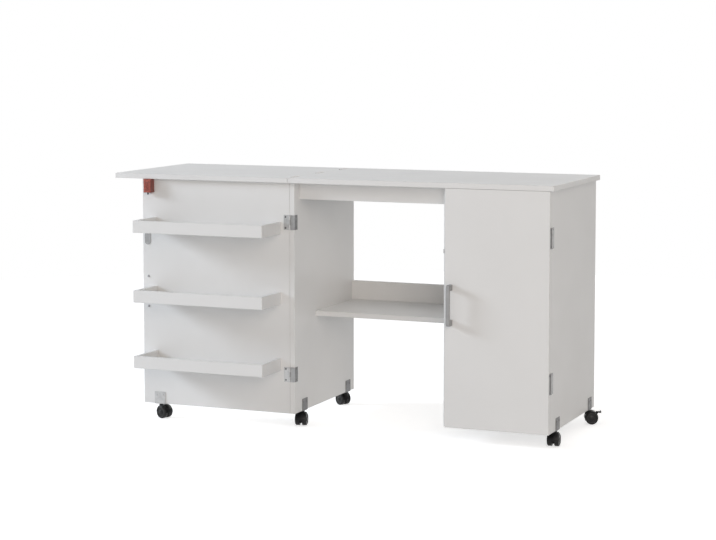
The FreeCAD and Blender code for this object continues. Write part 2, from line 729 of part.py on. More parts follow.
def make_left_door_hinges(screws):
    """Wrap-around hinges between the left panel's front edge and the left door's face."""
    height = "wrap_hinge_height"
    shared = (height, "hinge_knuckle", "hinge_plate", HINGE_OFF)
    door = bored(hinge_leaf(*shared, "wrap_hinge_width", True, -1),
                 "hinge_pin + pin_play", height)
    edge_leg = hinge_leaf(*shared, "board + hinge_plate", False, 1)
    inner_leg = locate(block("hinge_plate", "wrap_depth + hinge_plate", height),
                       "board", f"{HINGE_OFF} - hinge_plate", 0)
    panel = bored(edge_leg + [inner_leg], "hinge_pin", height)
    places = [("0", f"-{HINGE_OFF}", low) for low in WRAP_HINGES]
    hinges("left_door_hinge_door_leaves", door, places, screws["left_door"])
    hinges("left_door_hinge_panel_leaves", panel, places, screws["cabinet"])


def make_right_door_hinges(screws):
    """Hinges on the outer side: one leaf on the side panel, one on the right door's edge."""
    height = "side_hinge_height"
    shared = (height, "hinge_knuckle", "hinge_plate", HINGE_OFF)
    door = bored(hinge_leaf(*shared, "side_hinge_edge", True, -1), "hinge_pin + pin_play", height)
    panel = bored(hinge_leaf(*shared, "side_hinge_width", False, 1), "hinge_pin", height)
    sideways = FreeCAD.Rotation(Z_AXIS, 90)
    places = [(f"cabinet_width + {HINGE_OFF}", SIDE_HINGE_Y, low, sideways) for low in SIDE_HINGES]
    hinges("right_door_hinge_door_leaves", door, places, screws["right_door"])
    hinges("right_door_hinge_panel_leaves", panel, places, screws["cabinet"])


def make_leaf_hinges(screws):
    """Let-in hinges on the fold line of the top."""
    shared = ("flap_length", "flap_knuckle", "flap_plate", "(flap_rise + flap_plate)")
    leaf = bored(hinge_leaf(*shared, "flap_width", True, -1), "flap_pin + pin_play", "flap_length")
    fixed = bored(hinge_leaf(*shared, "flap_width", False, 1), "flap_pin", "flap_length")
    lying = FreeCAD.Rotation(X_AXIS, -90)
    places = [("0", front, "panel_height + board + flap_rise", lying) for front in FLAP_HINGES]
    hinges("leaf_hinge_leaf_plates", leaf, places, screws["leaf"])
    hinges("leaf_hinge_top_plates", fixed, places, screws["cabinet"])


def make_hinge_pins():
    """Pins of all the hinges, held in the leaves that stay with the cabinet."""
    wrap = rod("hinge_pin", "wrap_hinge_height")
    side = rod("hinge_pin", "side_hinge_height")
    flap = rod("flap_pin", "flap_length")
    pins = [stand(copy(wrap), 0, f"-{HINGE_OFF}", low) for low in WRAP_HINGES]
    pins += [stand(copy(side), f"cabinet_width + {HINGE_OFF}", SIDE_HINGE_Y, low) for low in SIDE_HINGES]
    pins += [stand(copy(flap), 0, front, "panel_height + board + flap_rise",
                   FreeCAD.Rotation(X_AXIS, -90)) for front in FLAP_HINGES]
    node("hinge_pins", group(*pins))


# ---------------------------------------------------------------- handles, lock and catches

def handle():
    """A D handle whose feet stand on Y = 0, its grip towards +Y and its middle at Z = 0."""
    body = doc.addObject("PartDesign::Body", "Handle")
    half = "handle_length / 2"
    foot = f"({half} - handle_foot)"
    grip = "(handle_reach - handle_bar)"
    corners = (("0", f"-{half}"), ("handle_reach", f"-{half}"), ("handle_reach", half), ("0", half),
               ("0", foot), (grip, foot), (grip, f"-{foot}"), ("0", f"-{foot}"))
    staple = pad(body, outline(body, "YZ_Plane", corners), "handle_width", midplane=True)

    def outer_corner(edge):
        middle = edge.CenterOfMass
        return runs_along(edge, X_AXIS) and middle.y > staple.Shape.BoundBox.YMax - 1e-3

    bent = round_edges(body, staple, "handle_round", outer_corner)

    def long_edge(edge):
        box = edge.BoundBox
        return box.XLength < 1e-6 and box.YMax > 1e-3

    round_edges(body, bent, "handle_edge", long_edge)
    return body


def make_handles(screws):
    """One handle on the outer face of each door."""
    staple = handle()
    left = stand(copy(staple), LEFT_HANDLE_X, "board", "left_handle_height")
    right = stand(copy(staple), RIGHT_HANDLE_X, TOP_FRONT, "right_handle_height",
                  FreeCAD.Rotation(Z_AXIS, 180))
    node("left_door_handle", cut(left, screws["left_door"]))
    node("right_door_handle", cut(right, screws["right_door"]))


def make_leaf_lock(screws):
    """Housing on the left door and a bolt that is pushed up into the top."""
    body = doc.addObject("PartDesign::Body", "LockHousing")
    slab = pad(body, outline(body, "XY_Plane", rectangle("lock_width", "lock_depth")), "lock_height")

    def front_edge(edge):
        middle = edge.CenterOfMass
        return middle.y < 1e-3

    round_edges(body, slab, "lock_round", front_edge)
    low = f"({DOOR_HEIGHT} - lock_height)"
    stand(body, f"{LEFT_DOOR_FREE} + lock_from_edge", "-lock_depth", low)
    bore = stand(rod("bolt_radius + bolt_play", "lock_height"), BOLT_X, "-bolt_off_door", low)
    node("leaf_lock_housing", cut(body, bore, screws["left_door"]))
    bolt = rod("bolt_radius", "lock_height + bolt_tip")
    node("leaf_lock_bolt", stand(bolt, BOLT_X, "-bolt_off_door", f"{low} - bolt_tip"))


def strike():
    """A strike plate with round corners, its lower left corner at the origin, lying in Y = 0."""
    body = doc.addObject("PartDesign::Body", "StrikePlate")
    plate = pad(body, outline(body, "XZ_Plane", rectangle("strike_width", "strike_height")),
                "strike_plate")
    round_edges(body, plate, "strike_round", lambda edge: runs_along(edge, Y_AXIS))
    return body


def make_catches(screws):
    """Strike plates on the doors and magnetic catches on the divider."""
    plate = strike()
    left = stand(copy(plate), LEFT_STRIKE_X, "0", "strike_low")
    node("left_door_strike_plate", cut(left, screws["left_door"]))
    right = stand(copy(plate), RIGHT_STRIKE_X, "strike_plate - door_stand_off", "strike_low")
    node("right_door_strike_plate", cut(right, screws["right_door"]))
    catch_low = "strike_low + (strike_height - catch_height) / 2"
    left_catch = board("catch_width", "catch_depth", "catch_height")
    right_catch = board("catch_width", "catch_depth", "catch_height")
    node("magnetic_catches", group(
        stand(left_catch, f"{DIVIDER} - catch_width",
              f"strike_plate + catch_gap - 2 * {HINGE_OFF}", catch_low),
        stand(right_catch, f"{DIVIDER} + board",
              "strike_plate + catch_gap - door_stand_off", catch_low)))


# ---------------------------------------------------------------- casters

def bracket():
    """U bracket round a board that runs along X, with the socket for the stem."""
    over = "(board + 2 * bracket_plate)"
    shell = locate(block("bracket_width", over, "bracket_height + bracket_plate"),
                   "-bracket_width / 2", f"-{over} / 2", "-bracket_plate")
    space = locate(block("bracket_width", "board", "bracket_height"),
                   "-bracket_width / 2", "-board / 2", 0)
    socket = rod(SOCKET_RADIUS, SOCKET_LENGTH)
    bore = locate(rod("stem_radius + stem_play", f"{SOCKET_LENGTH} + bracket_plate"),
                  0, 0, "-bracket_plate")
    return cut(fuse(cut(shell, space), socket), bore)


def hood(braked):
    """Hood with its swivel stem; the wheel axle lies behind the stem, towards +X."""
    guard = cross_rod(HOOD_OUTER, "hood_width", "caster_trail", f"-{AXLE_DROP}")
    lower = locate(block(f"2 * {HOOD_OUTER}", "hood_width", HOOD_OUTER),
                   f"caster_trail - {HOOD_OUTER}", "-hood_width / 2", f"-{AXLE_DROP} - {HOOD_OUTER}")
    removed = [lower]
    if braked:
        removed.append(locate(block(HOOD_OUTER, "hood_width", HOOD_OUTER),
                              "caster_trail + lever_pivot_out - lever_ear - knuckle_play * 2",
                              "-hood_width / 2", f"-{AXLE_DROP}"))
    web = cross_rod(HOOD_INNER, "web_width", "caster_trail", f"-{AXLE_DROP}")
    below = locate(block(f"2 * {HOOD_INNER}", "web_width", "hood_bottom + hood_gap"),
                   f"caster_trail - {HOOD_INNER}", "-web_width / 2", "-floor_gap - hood_gap")
    boss = locate(rod("boss_radius", f"{AXLE_DROP} - {BOSS_TOP}"), 0, 0, f"-{AXLE_DROP}")
    wells = []
    for side in (-1, 1):
        well = rod(HOOD_INNER, "hood_width")
        y = "web_width / 2" if side > 0 else "-web_width / 2 - hood_width"
        wells.append(locate(well, "caster_trail", y, f"-{AXLE_DROP}", DRIVEN["front"]))
    axle_bore = cross_rod("axle_radius + axle_play", "web_width", "caster_trail", f"-{AXLE_DROP}")
    body = fuse(cut(guard, *removed), cut(web, below), boss)
    shaped = cut(body, axle_bore, *wells)
    stem = locate(rod("stem_radius", f"stem_length + {BOSS_TOP}"), 0, 0, f"-{BOSS_TOP}")
    pieces = [shaped, stem]
    if braked:
        x = "caster_trail + lever_pivot_out"
        z = f"lever_pivot_up - {AXLE_DROP}"
        pieces.append(cross_rod("lever_ear", "web_width", x, z))
        pieces.append(cross_rod("lever_pin", "web_width + 2 * (knuckle_play + lever_cheek)", x, z))
    return fuse(*pieces)


def wheel():
    """A wheel with a dished outer face; its axis is Y and its inner face looks at the middle."""
    body = doc.addObject("PartDesign::Body", "Wheel")
    near = "(wheel_gap / 2)"
    far = "(wheel_gap / 2 + wheel_width)"
    rim = "(wheel_radius - 2 * wheel_round / 3)"
    dish = "(wheel_radius - 2 * wheel_round)"
    hub = "(axle_radius + wheel_round)"
    profile = (("axle_radius", near), ("wheel_radius - wheel_round / 3", near),
               ("wheel_radius", f"{near} + wheel_round / 3"),
               ("wheel_radius", f"{far} - wheel_round"),
               (rim, f"{far} - wheel_round / 4"), (f"{rim} - wheel_round / 3", far),
               (dish, far), (f"{dish} - wheel_round / 2", f"{far} - wheel_round / 2"),
               (f"{hub} + wheel_round / 3", f"{far} - wheel_round / 2"),
               (hub, far), ("axle_radius", far))
    turned = body.newObject("PartDesign::Revolution", "Turned")
    turned.Profile = outline(body, "XY_Plane", profile)
    turned.ReferenceAxis = (turned.Profile[0], ["V_Axis"])
    turned.Angle = 360
    return body


def lever():
    """Brake pedal: a plate with two cheeks that turn on the pin in the hood's ear."""
    x = "(caster_trail + lever_pivot_out)"
    z = f"(lever_pivot_up - {AXLE_DROP})"
    inner = "(web_width / 2 + knuckle_play)"
    start = f"({x} + lever_ear + knuckle_play)"
    tip = "(caster_trail + lever_reach)"
    pedal = locate(block(f"{tip} - {start}", "lever_width", "lever_plate"),
                   start, "-lever_width / 2", z)
    pieces = [pedal]
    for side in (-1, 1):
        y = inner if side > 0 else f"-({inner} + lever_cheek)"
        eye = locate(rod("lever_ear - knuckle_play * 2", "lever_cheek"), x, y, z, DRIVEN["front"])
        arm = locate(block(f"{start} + lever_plate - {x}", "lever_cheek", "lever_plate"), x, y, z)
        pieces += [eye, arm]
    bore = cross_rod("lever_pin + pin_play", f"2 * ({inner} + lever_cheek)", x, z)
    return cut(fuse(*pieces), bore)


def swivelled(thing, x, y, swivel):
    """Place a caster piece under the board at cabinet place x, y, turned about its stem."""
    bind(thing, "Placement",
         f"placement(vector({x} - {FRAME_X}; {y} - {FRAME_Y}; floor_gap);"
         f" rotation(vector(0; 0; 1); {swivel}))")
    return thing


def make_casters(screws):
    """Five casters; the two under the back of the cabinet have brakes."""
    one_wheel = wheel()
    plain_bracket = bracket()
    plain_hood = hood(False)
    braked_hood = hood(True)
    pedal = lever()
    axle = group(cross_rod("axle_radius", "wheel_gap + 2 * wheel_width - wheel_round"))
    for key, (x, y, swivel, turned) in CASTERS.items():
        held = stand(copy(plain_bracket), x, y, 0, FreeCAD.Rotation(Z_AXIS, turned))
        holes = screws["left_door"] if key == "door" else screws["cabinet"]
        node(f"{key}_caster_bracket", cut(held, holes))
        moving = {"hood": copy(braked_hood if key in BRAKED else plain_hood)}
        second = locate(copy(one_wheel), "caster_trail", 0, f"-{AXLE_DROP}", FreeCAD.Rotation(Z_AXIS, 180))
        moving["wheels"] = group(locate(copy(one_wheel), "caster_trail", 0, f"-{AXLE_DROP}"), second,
                                 locate(copy(axle), "caster_trail", 0, f"-{AXLE_DROP}"))
        if key in BRAKED:
            moving["brake_lever"] = copy(pedal)
        for name, piece in moving.items():
            node(f"{key}_caster_{name}", swivelled(group(piece), x, y, swivel))


# ---------------------------------------------------------------- build and write

def build():
    fill_sheet()
    screws = make_screws()
    make_carcass(screws)
    make_compartment()
    make_top(screws)
    make_doors(screws)
    make_trays(screws)
    make_left_door_hinges(screws)
    make_right_door_hinges(screws)
    make_leaf_hinges(screws)
    make_hinge_pins()
    make_handles(screws)
    make_leaf_lock(screws)
    make_catches(screws)
    make_casters(screws)
    doc.recompute()


def check():
    for thing in doc.Objects:
        if "Invalid" in thing.State or "Error" in thing.State:
            raise RuntimeError(f"{thing.Label} ({thing.Name}) could not be built: {thing.State}")
    for thing in nodes:
        if thing.Shape.isNull() or not thing.Shape.isValid():
            raise RuntimeError(f"{thing.Label} has no valid shape")


def write():
    os.makedirs("parts", exist_ok=True)
    for thing in nodes:
        thing.Shape.exportStep(f"parts/{thing.Label}.step")


build()
check()
write()
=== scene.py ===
"""Looks of a folding sewing and cutting table: finishes, fine hardware and a plain studio."""
import json
import math

import bmesh
import bpy
from mathutils import Matrix, Vector


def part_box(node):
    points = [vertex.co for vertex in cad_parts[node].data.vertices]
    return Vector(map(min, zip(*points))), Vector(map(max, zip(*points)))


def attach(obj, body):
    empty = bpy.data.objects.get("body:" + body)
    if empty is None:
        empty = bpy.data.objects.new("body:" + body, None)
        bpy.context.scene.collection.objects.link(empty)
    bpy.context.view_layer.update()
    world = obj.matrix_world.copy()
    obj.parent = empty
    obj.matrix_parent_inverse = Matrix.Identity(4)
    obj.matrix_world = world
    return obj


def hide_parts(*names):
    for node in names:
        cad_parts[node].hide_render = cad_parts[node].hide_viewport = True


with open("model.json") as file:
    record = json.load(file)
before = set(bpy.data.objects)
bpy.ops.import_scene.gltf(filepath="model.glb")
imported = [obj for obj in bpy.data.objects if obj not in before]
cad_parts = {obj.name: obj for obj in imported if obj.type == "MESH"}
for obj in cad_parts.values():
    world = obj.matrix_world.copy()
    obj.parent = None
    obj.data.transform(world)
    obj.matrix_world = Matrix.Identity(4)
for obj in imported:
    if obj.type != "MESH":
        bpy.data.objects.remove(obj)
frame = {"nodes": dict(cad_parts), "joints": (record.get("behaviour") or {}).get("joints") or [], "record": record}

bl_info = {
    "name": "Sewing Table Dresser",
    "version": (1, 0, 0),
    "blender": (4, 5, 0),
    "location": "View3D > Sidebar > Sewing Table",
    "description": "Finishes and fine hardware of a folding sewing and cutting table",
    "category": "Object",
}

MM = 0.001
CASTERS = ("left_front", "left_rear", "right_front", "right_rear", "door")
BRAKED = ("left_rear", "right_rear")
JOINTS = {joint["name"]: joint for joint in frame["joints"]}
BODY_OF = {node: body for body, nodes in frame["record"]["behaviour"]["bodies"].items() for node in nodes}
SLOT_OF = {row["node"]: row["material_slot"] for row in frame["record"]["subparts"]}


# ---------------------------------------------------------------- settings

def tone(name, description, default):
    return bpy.props.FloatVectorProperty(name=name, description=description, default=default, size=3,
                                         min=0.0, max=1.0, subtype="COLOR")


def share(name, description, default):
    return bpy.props.FloatProperty(name=name, description=description, default=default, min=0.0, max=1.0,
                                   subtype="FACTOR")


def length(name, description, millimetres):
    return bpy.props.FloatProperty(name=name, description=description, default=millimetres * MM, min=0.0,
                                   unit="LENGTH")


def turn(name, description, degrees):
    return bpy.props.FloatProperty(name=name, description=description, default=math.radians(degrees),
                                   subtype="ANGLE")


def spot(name, description, place):
    return bpy.props.FloatVectorProperty(name=name, description=description, default=place, size=3,
                                         subtype="TRANSLATION", unit="LENGTH")


def power(name, description, watts):
    return bpy.props.FloatProperty(name=name, description=description, default=watts, min=0.0, unit="POWER")


class BoardSettings(bpy.types.PropertyGroup):
    """Melamine facing and edge banding of the boards."""
    face: tone("Face", "Colour of the melamine facing", (0.790, 0.787, 0.780))
    cloud: tone("Cloud", "Slightly greyer patches of the facing", (0.772, 0.769, 0.761))
    seam: tone("Seam", "Glue line between the facing and the banding", (0.56, 0.55, 0.53))
    scuff: tone("Scuff", "Handling marks along the edges", (0.64, 0.63, 0.61))
    roughness: share("Roughness", "Sheen of the facing", 0.42)
    banding: length("Banding", "Thickness of the edge banding", 0.9)
    peel: length("Peel", "Depth of the pressed texture", 0.02)
    hardboard: tone("Hardboard", "Lacquered side of the back panel", (0.72, 0.71, 0.69))


class MetalSettings(bpy.types.PropertyGroup):
    """Hinges, brackets, handles and screws."""
    hinge: tone("Hinge", "Plated steel of the hinges", (0.38, 0.38, 0.382))
    # The door leaf colour is painted light: the same hinge steel made lighter on the left door's leaves, which
    # catch more light.
    painted_light_leaf: tone("Door leaf", "Brighter leaves on the left door", (0.52, 0.52, 0.522))
    # The hinge leg colour is painted shade: the same hinge steel made darker on the legs that lie in the
    # kneehole's shade.
    painted_shade_leg: tone("Hinge leg", "Duller legs inside the kneehole", (0.20, 0.20, 0.20))
    bracket: tone("Bracket", "Plated steel of the cabinet's caster brackets", (0.185, 0.185, 0.187))
    door_bracket: tone("Door bracket", "Brighter bracket of the door's caster", (0.58, 0.58, 0.58))
    strike: tone("Strike", "Plated steel of the strike plates", (0.35, 0.35, 0.35))
    screw: tone("Screw", "Blackened countersunk screws", (0.12, 0.12, 0.122))
    pin: tone("Pin", "Plated pins and handle screws", (0.36, 0.36, 0.365))
    handle: tone("Handle", "Satin lacquer of the handles", (0.31, 0.31, 0.312))
    white: tone("White", "White lacquer of the leaf hinges", (0.76, 0.757, 0.75))
    roughness: share("Roughness", "Sheen of the plating", 0.38)


class PlasticSettings(bpy.types.PropertyGroup):
    """Moulded parts."""
    hood: tone("Hood", "Nylon of the caster hoods", (0.005, 0.005, 0.0055))
    wheel: tone("Wheel", "Nylon of the caster wheels", (0.010, 0.010, 0.0105))
    dust: tone("Dust", "Floor dust on the treads", (0.030, 0.029, 0.027))
    lock: tone("Lock", "Red housing of the leaf lock", (0.37, 0.086, 0.062))
    # The lock side colour is painted shade on the lock's right side, which faces away from the key lamp; it also
    # gives the random darker mottle spots of the housing.
    lock_shade_and_mottle: tone("Lock side", "Darker recesses and side of the lock", (0.17, 0.035, 0.024))
    bolt: tone("Bolt", "Black bolt of the leaf lock", (0.02, 0.02, 0.021))
    catch: tone("Catch", "White housing of the magnetic catches", (0.72, 0.72, 0.71))


class HardwareSettings(bpy.types.PropertyGroup):
    """Sizes of the fine hardware."""
    recess_width: share("Recess width", "Arm of a cross recess against the head's width", 0.17)
    recess_depth: share("Recess depth", "Depth of a cross recess against the head's width", 0.24)
    bracket_head: length("Bracket head", "Pan heads wider than this hold a handle", 3.5)
    cover_radius: length("Cover radius", "Cap over a cam fitting", 8.5)
    cover_rise: length("Cover rise", "Cap proud of the board", 0.8)
    cover_inset: length("Cover inset", "Middle of a cap from the end of its board", 34.0)
    pole_width: length("Pole width", "Thickness of a catch's steel pole plate", 0.5)
    pole_reach: length("Pole reach", "Pole plate in front of the catch's housing", 16.0)
    lip: length("Lip", "Softened edges of moulded parts", 0.6)
    bend: length("Bend", "Outer bend of the bracket sheet", 1.6)
    flange_corner: length("Flange corner", "Rounded corners of the bracket flanges", 1.6)


class StageSettings(bpy.types.PropertyGroup):
    """Camera, lamps, world and floor."""
    eye: spot("Eye", "Place of the camera", (2.369, -5.6784, 1.2199))
    heading: turn("Heading", "Camera turned from +Y towards -X", 22.477)
    dip: turn("Dip", "Camera tilted below the horizon", 4.503)
    lens: bpy.props.FloatProperty(name="Lens", description="Focal length in millimetres", default=99.007,
                                  unit="CAMERA")
    drop: bpy.props.FloatProperty(name="Drop", description="Lens lowered against the sensor, in widths",
                                  default=0.1117)
    key_place: spot("Key place", "Main lamp, high at the left", (-5.2, -1.8, 2.4))
    key_power: power("Key power", "Power of the main lamp", 221.0)
    side_place: spot("Side place", "Lamp high at the right front", (3.6, -4.2, 3.0))
    side_power: power("Side power", "Power of the lamp at the right front", 52.0)
    front_place: spot("Front place", "Lamp at the height of the eye", (2.6, -5.6, 1.6))
    front_power: power("Front power", "Power of the lamp at the height of the eye", 75.0)
    back_place: spot("Back place", "Lamp behind, seen through the kneehole", (1.5, 5.5, 2.6))
    back_power: power("Back power", "Power of the lamp behind", 74.0)
    key_size: length("Key size", "Width of the main lamp", 1600)
    soft_size: length("Soft size", "Width of the other lamps", 3600)
    cool: tone("Cool", "Light of the main lamp", (0.82, 0.90, 1.0))
    warm: tone("Warm", "Light of the two lamps in front", (1.0, 0.90, 0.81))
    mild: tone("Mild", "Light of the lamp behind", (0.95, 0.92, 0.88))
    fill: share("Fill", "White light of the world on the object", 0.30)
    floor: tone("Floor", "Colour of the floor", (0.80, 0.80, 0.80))
    floor_radius: length("Floor radius", "Round floor; white lies beyond it", 4000)
    glow: share("Glow", "Part of the floor's white that doesn't depend on the lamps", 0.62)


PANELS = (
    ("boards", "Boards", BoardSettings),
    ("metals", "Metals", MetalSettings),
    ("plastics", "Plastics", PlasticSettings),
    ("hardware", "Hardware", HardwareSettings),
    ("stage", "Stage", StageSettings),
)


def settings(name):
    return getattr(bpy.context.scene, "sewing_table_" + name)


# ---------------------------------------------------------------- materials

class Finish:
    """A Principled material and the nodes that vary its colour, sheen and relief."""

    def __init__(self, name, metallic=0.0):
        self.material = bpy.data.materials.new(name)
        self.material.use_nodes = True
        self.tree = self.material.node_tree
        self.shader = self.tree.nodes["Principled BSDF"]
        self.shader.inputs["Metallic"].default_value = metallic
        self.coordinates = self.node("ShaderNodeTexCoord").outputs["Object"]

    def node(self, kind, links=(), **values):
        """Add a node; links pair an input with a socket or a plain value, values are its properties."""
        made = self.tree.nodes.new(kind)
        for key, value in values.items():
            setattr(made, key, value)
        for key, source in links:
            if isinstance(source, bpy.types.NodeSocket):
                self.tree.links.new(source, made.inputs[key])
            else:
                made.inputs[key].default_value = source
        return made

    def math(self, operation, first, second=0.0, third=0.0):
        made = self.node("ShaderNodeMath", ((0, first), (1, second), (2, third)), operation=operation)
        return made.outputs[0]

    def vector(self, operation, first, second=(0.0, 0.0, 0.0)):
        made = self.node("ShaderNodeVectorMath", ((0, first), (1, second)), operation=operation)
        return made.outputs[0]

    def stretched(self, scale):
        """Object coordinates stretched along the axes, for drawn or brushed grain."""
        made = self.node("ShaderNodeMapping", (("Vector", self.coordinates), ("Scale", scale)))
        return made.outputs[0]

    def noise(self, scale, detail, coarse=0.5, along=None):
        made = self.node("ShaderNodeTexNoise", (
            ("Vector", along or self.coordinates), ("Scale", scale), ("Detail", detail),
            ("Roughness", coarse)))
        return made.outputs[0]

    def ramp(self, value, start, end, low=0.0, high=1.0):
        """Carry start..end over to low..high, held at both ends."""
        made = self.node("ShaderNodeMapRange", (
            ("Value", value), ("From Min", start), ("From Max", end), ("To Min", low), ("To Max", high)))
        return made.outputs[0]

    def mix(self, factor, first, second):
        """Blend two colours; the blend's factor and colours sit at its inputs 0, 6 and 7."""
        made = self.node("ShaderNodeMix", data_type="RGBA")
        for socket, source in ((made.inputs[0], factor), (made.inputs[6], first), (made.inputs[7], second)):
            if isinstance(source, bpy.types.NodeSocket):
                self.tree.links.new(source, socket)
            elif socket.type == "RGBA":
                socket.default_value = (*source, 1.0)
            else:
                socket.default_value = source
        return made.outputs[2]

    def paint(self, colour):
        self.tree.links.new(colour, self.shader.inputs["Base Color"])

    def sheen(self, roughness):
        self.tree.links.new(roughness, self.shader.inputs["Roughness"])

    def relief(self, height, depth, strength):
        made = self.node("ShaderNodeBump", (("Height", height), ("Distance", depth), ("Strength", strength)))
        self.tree.links.new(made.outputs[0], self.shader.inputs["Normal"])


# Scales of the noise patterns: the larger, the finer.
CLOUD_SCALE = 3.2
SMEAR_SCALE = 9.0
RUB_SCALE = 26.0
PRESSED_SCALE = 620.0
FIBRE_SCALE = 140.0
SPANGLE_SCALE = 70.0
ROLLED_SCALE = 900.0
MOTTLE_SCALE = 45.0
ORANGE_PEEL_SCALE = 1100.0
FLOW_SCALE = 38.0
DUST_SCALE = 210.0
NYLON_GRAIN = 1400.0
LOCK_GRAIN = 1200.0
CATCH_GRAIN = 900.0

# Grain of rolled sheet, drawn out along the axis with the low value.
UPRIGHT_GRAIN = (1.0, 1.0, 0.12)
BRACKET_GRAIN = (1.0, 1.0, 0.2)
LEVEL_GRAIN = (0.15, 1.0, 1.0)

# How metallic the plating of the caster brackets is, and the relief of metal and lacquer.
DULL_PLATING = 0.6
PALE_PLATING = 0.4
METAL_RELIEF = 0.015 * MM


def board_finish(node, fold=None, offset=0.0):
    """Melamine facing with its glue line and edge marks, drawn from the board's own edges.

    Two like boards that lie mirrored about the node's middle are folded on each other along the
    axis called fold, offset from the middle to the middle of each board.
    """
    use = settings("boards")
    low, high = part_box(node)
    half = list((high - low) / 2)
    shift = [0.0, 0.0, 0.0]
    if fold is not None:
        half[fold] -= offset
        shift[fold] = offset
    finish = Finish("melamine_" + node)
    centred = finish.node("ShaderNodeMapping", (
        ("Vector", finish.coordinates), ("Location", -(low + high) / 2))).outputs[0]
    folded = finish.vector("SUBTRACT", finish.vector("ABSOLUTE", centred), shift)
    inward = finish.vector("SUBTRACT", half, finish.vector("ABSOLUTE", folded))
    parts = finish.node("ShaderNodeSeparateXYZ", ((0, inward),)).outputs
    nearer = finish.math("MINIMUM", parts[0], parts[1])
    farther = finish.math("MAXIMUM", parts[0], parts[1])
    to_edge = finish.math("MAXIMUM", nearer, finish.math("MINIMUM", farther, parts[2]))
    glue_width, glue_tint, glue_sink = use.banding / 6, 0.45, 0.8
    rub_reach, rub_tint, rub_dulling = 2.6 * MM, 0.55, 0.18
    glue = finish.math("COMPARE", to_edge, use.banding, glue_width)
    cloud = finish.ramp(finish.noise(CLOUD_SCALE, 3.0, 0.55), 0.35, 0.70)
    rubbed = finish.math("MULTIPLY", finish.ramp(to_edge, 0.0, rub_reach, 1.0, 0.0),
                         finish.ramp(finish.noise(RUB_SCALE, 4.0, 0.65), 0.52, 0.70))
    faced = finish.mix(cloud, use.face, use.cloud)
    banded = finish.mix(finish.math("MULTIPLY", glue, glue_tint), faced, use.seam)
    finish.paint(finish.mix(finish.math("MULTIPLY", rubbed, rub_tint), banded, use.scuff))
    smear = finish.ramp(finish.noise(SMEAR_SCALE, 4.0, 0.6), 0.3, 0.75,
                        use.roughness - 0.05, use.roughness + 0.07)
    finish.sheen(finish.math("ADD", smear, finish.math("MULTIPLY", rubbed, rub_dulling)))
    pressed = finish.noise(PRESSED_SCALE, 3.0, 0.6)
    finish.relief(finish.math("SUBTRACT", pressed, finish.math("MULTIPLY", glue, glue_sink)), use.peel, 0.5)
    finish.shader.inputs["IOR"].default_value = 1.5
    return finish.material


def hardboard_finish():
    """Lacquered fibreboard of the thin back panel."""
    use = settings("boards")
    finish = Finish("lacquered_hardboard")
    fibres = finish.noise(FIBRE_SCALE, 5.0, 0.7)
    finish.paint(finish.mix(finish.ramp(fibres, 0.4, 0.75), use.hardboard, use.cloud))
    finish.sheen(finish.ramp(fibres, 0.2, 0.8, 0.5, 0.66))
    finish.relief(fibres, 0.05 * MM, 0.6)
    return finish.material


def plated_finish(name, colour, grain=(1.0, 1.0, 1.0), metallic=0.85):
    """Zinc-plated sheet: a faint rolled grain, spangle patches and duller worn spots."""
    use = settings("metals")
    finish = Finish(name, metallic)
    rolled = finish.noise(ROLLED_SCALE, 3.0, 0.6, finish.stretched(grain))
    patches = finish.ramp(finish.noise(SPANGLE_SCALE, 3.0, 0.6), 0.3, 0.75)
    dull = [channel * 0.72 for channel in colour]
    finish.paint(finish.mix(patches, colour, dull))
    streaks = finish.ramp(rolled, 0.25, 0.75, use.roughness - 0.08, use.roughness + 0.08)
    finish.sheen(finish.math("ADD", streaks, finish.math("MULTIPLY", patches, 0.10)))
    finish.relief(rolled, METAL_RELIEF, 0.5)
    return finish.material


def lacquered_finish(name, colour, metallic=0.25):
    """Satin lacquer on metal, with a fine orange peel."""
    finish = Finish(name, metallic)
    mottled = finish.noise(MOTTLE_SCALE, 3.0, 0.6)
    bright = [min(1.0, channel * 1.12) for channel in colour]
    finish.paint(finish.mix(finish.ramp(mottled, 0.4, 0.7), colour, bright))
    finish.sheen(finish.ramp(mottled, 0.3, 0.7, 0.32, 0.44))
    finish.relief(finish.noise(ORANGE_PEEL_SCALE, 2.0), METAL_RELIEF, 0.5)
    return finish.material


def moulded_finish(name, colour, roughness, grain=NYLON_GRAIN, depth=0.02, dust=None, gloss=0.5,
                   patchy=(0.50, 0.74, 0.6)):
    """Moulded plastic: spark-eroded grain, depth in millimetres, flow marks and, where wanted, dust.

    The dust starts and is full at the first two levels of patchy, and the third is its most.
    """
    finish = Finish(name)
    finish.shader.inputs["Specular IOR Level"].default_value = gloss
    flow = finish.noise(FLOW_SCALE, 4.0, 0.6)
    pale = [min(1.0, channel * 1.45 + 0.002) for channel in colour]
    coloured = finish.mix(finish.ramp(flow, 0.35, 0.75), colour, pale)
    if dust is not None:
        start, full, most = patchy
        specks = finish.noise(DUST_SCALE, 5.0, 0.7)
        settled = finish.math("MULTIPLY", finish.ramp(specks, start, full), most)
        coloured = finish.mix(settled, coloured, dust)
    finish.paint(coloured)
    finish.sheen(finish.ramp(flow, 0.3, 0.75, roughness - 0.06, roughness + 0.10))
    finish.relief(finish.noise(grain, 3.0, 0.6), depth * MM, 0.55)
    return finish.material


def dress(node, material):
    """Give a carried-over solid its finish."""
    mesh = frame["nodes"][node].data
    mesh.materials.clear()
    mesh.materials.append(material)


def nodes_in(slot):
    return [node for node, name in SLOT_OF.items() if name == slot]


# ---------------------------------------------------------------- shaping helpers

SHARP_EDGE = math.radians(30.0)
SHARP_SHADING = math.radians(35.0)
SAME_POINT = 1e-6
NO_LENGTH = 1e-7


def softened(bm, width):
    """Round the sharp edges of a closed mesh."""
    edges = [edge for edge in bm.edges if edge.is_manifold and edge.calc_face_angle(0.0) > SHARP_EDGE]
    bmesh.ops.bevel(bm, geom=edges, offset=width, offset_type="OFFSET", segments=2, profile=0.5,
                    affect="EDGES", clamp_overlap=True, material=-1)


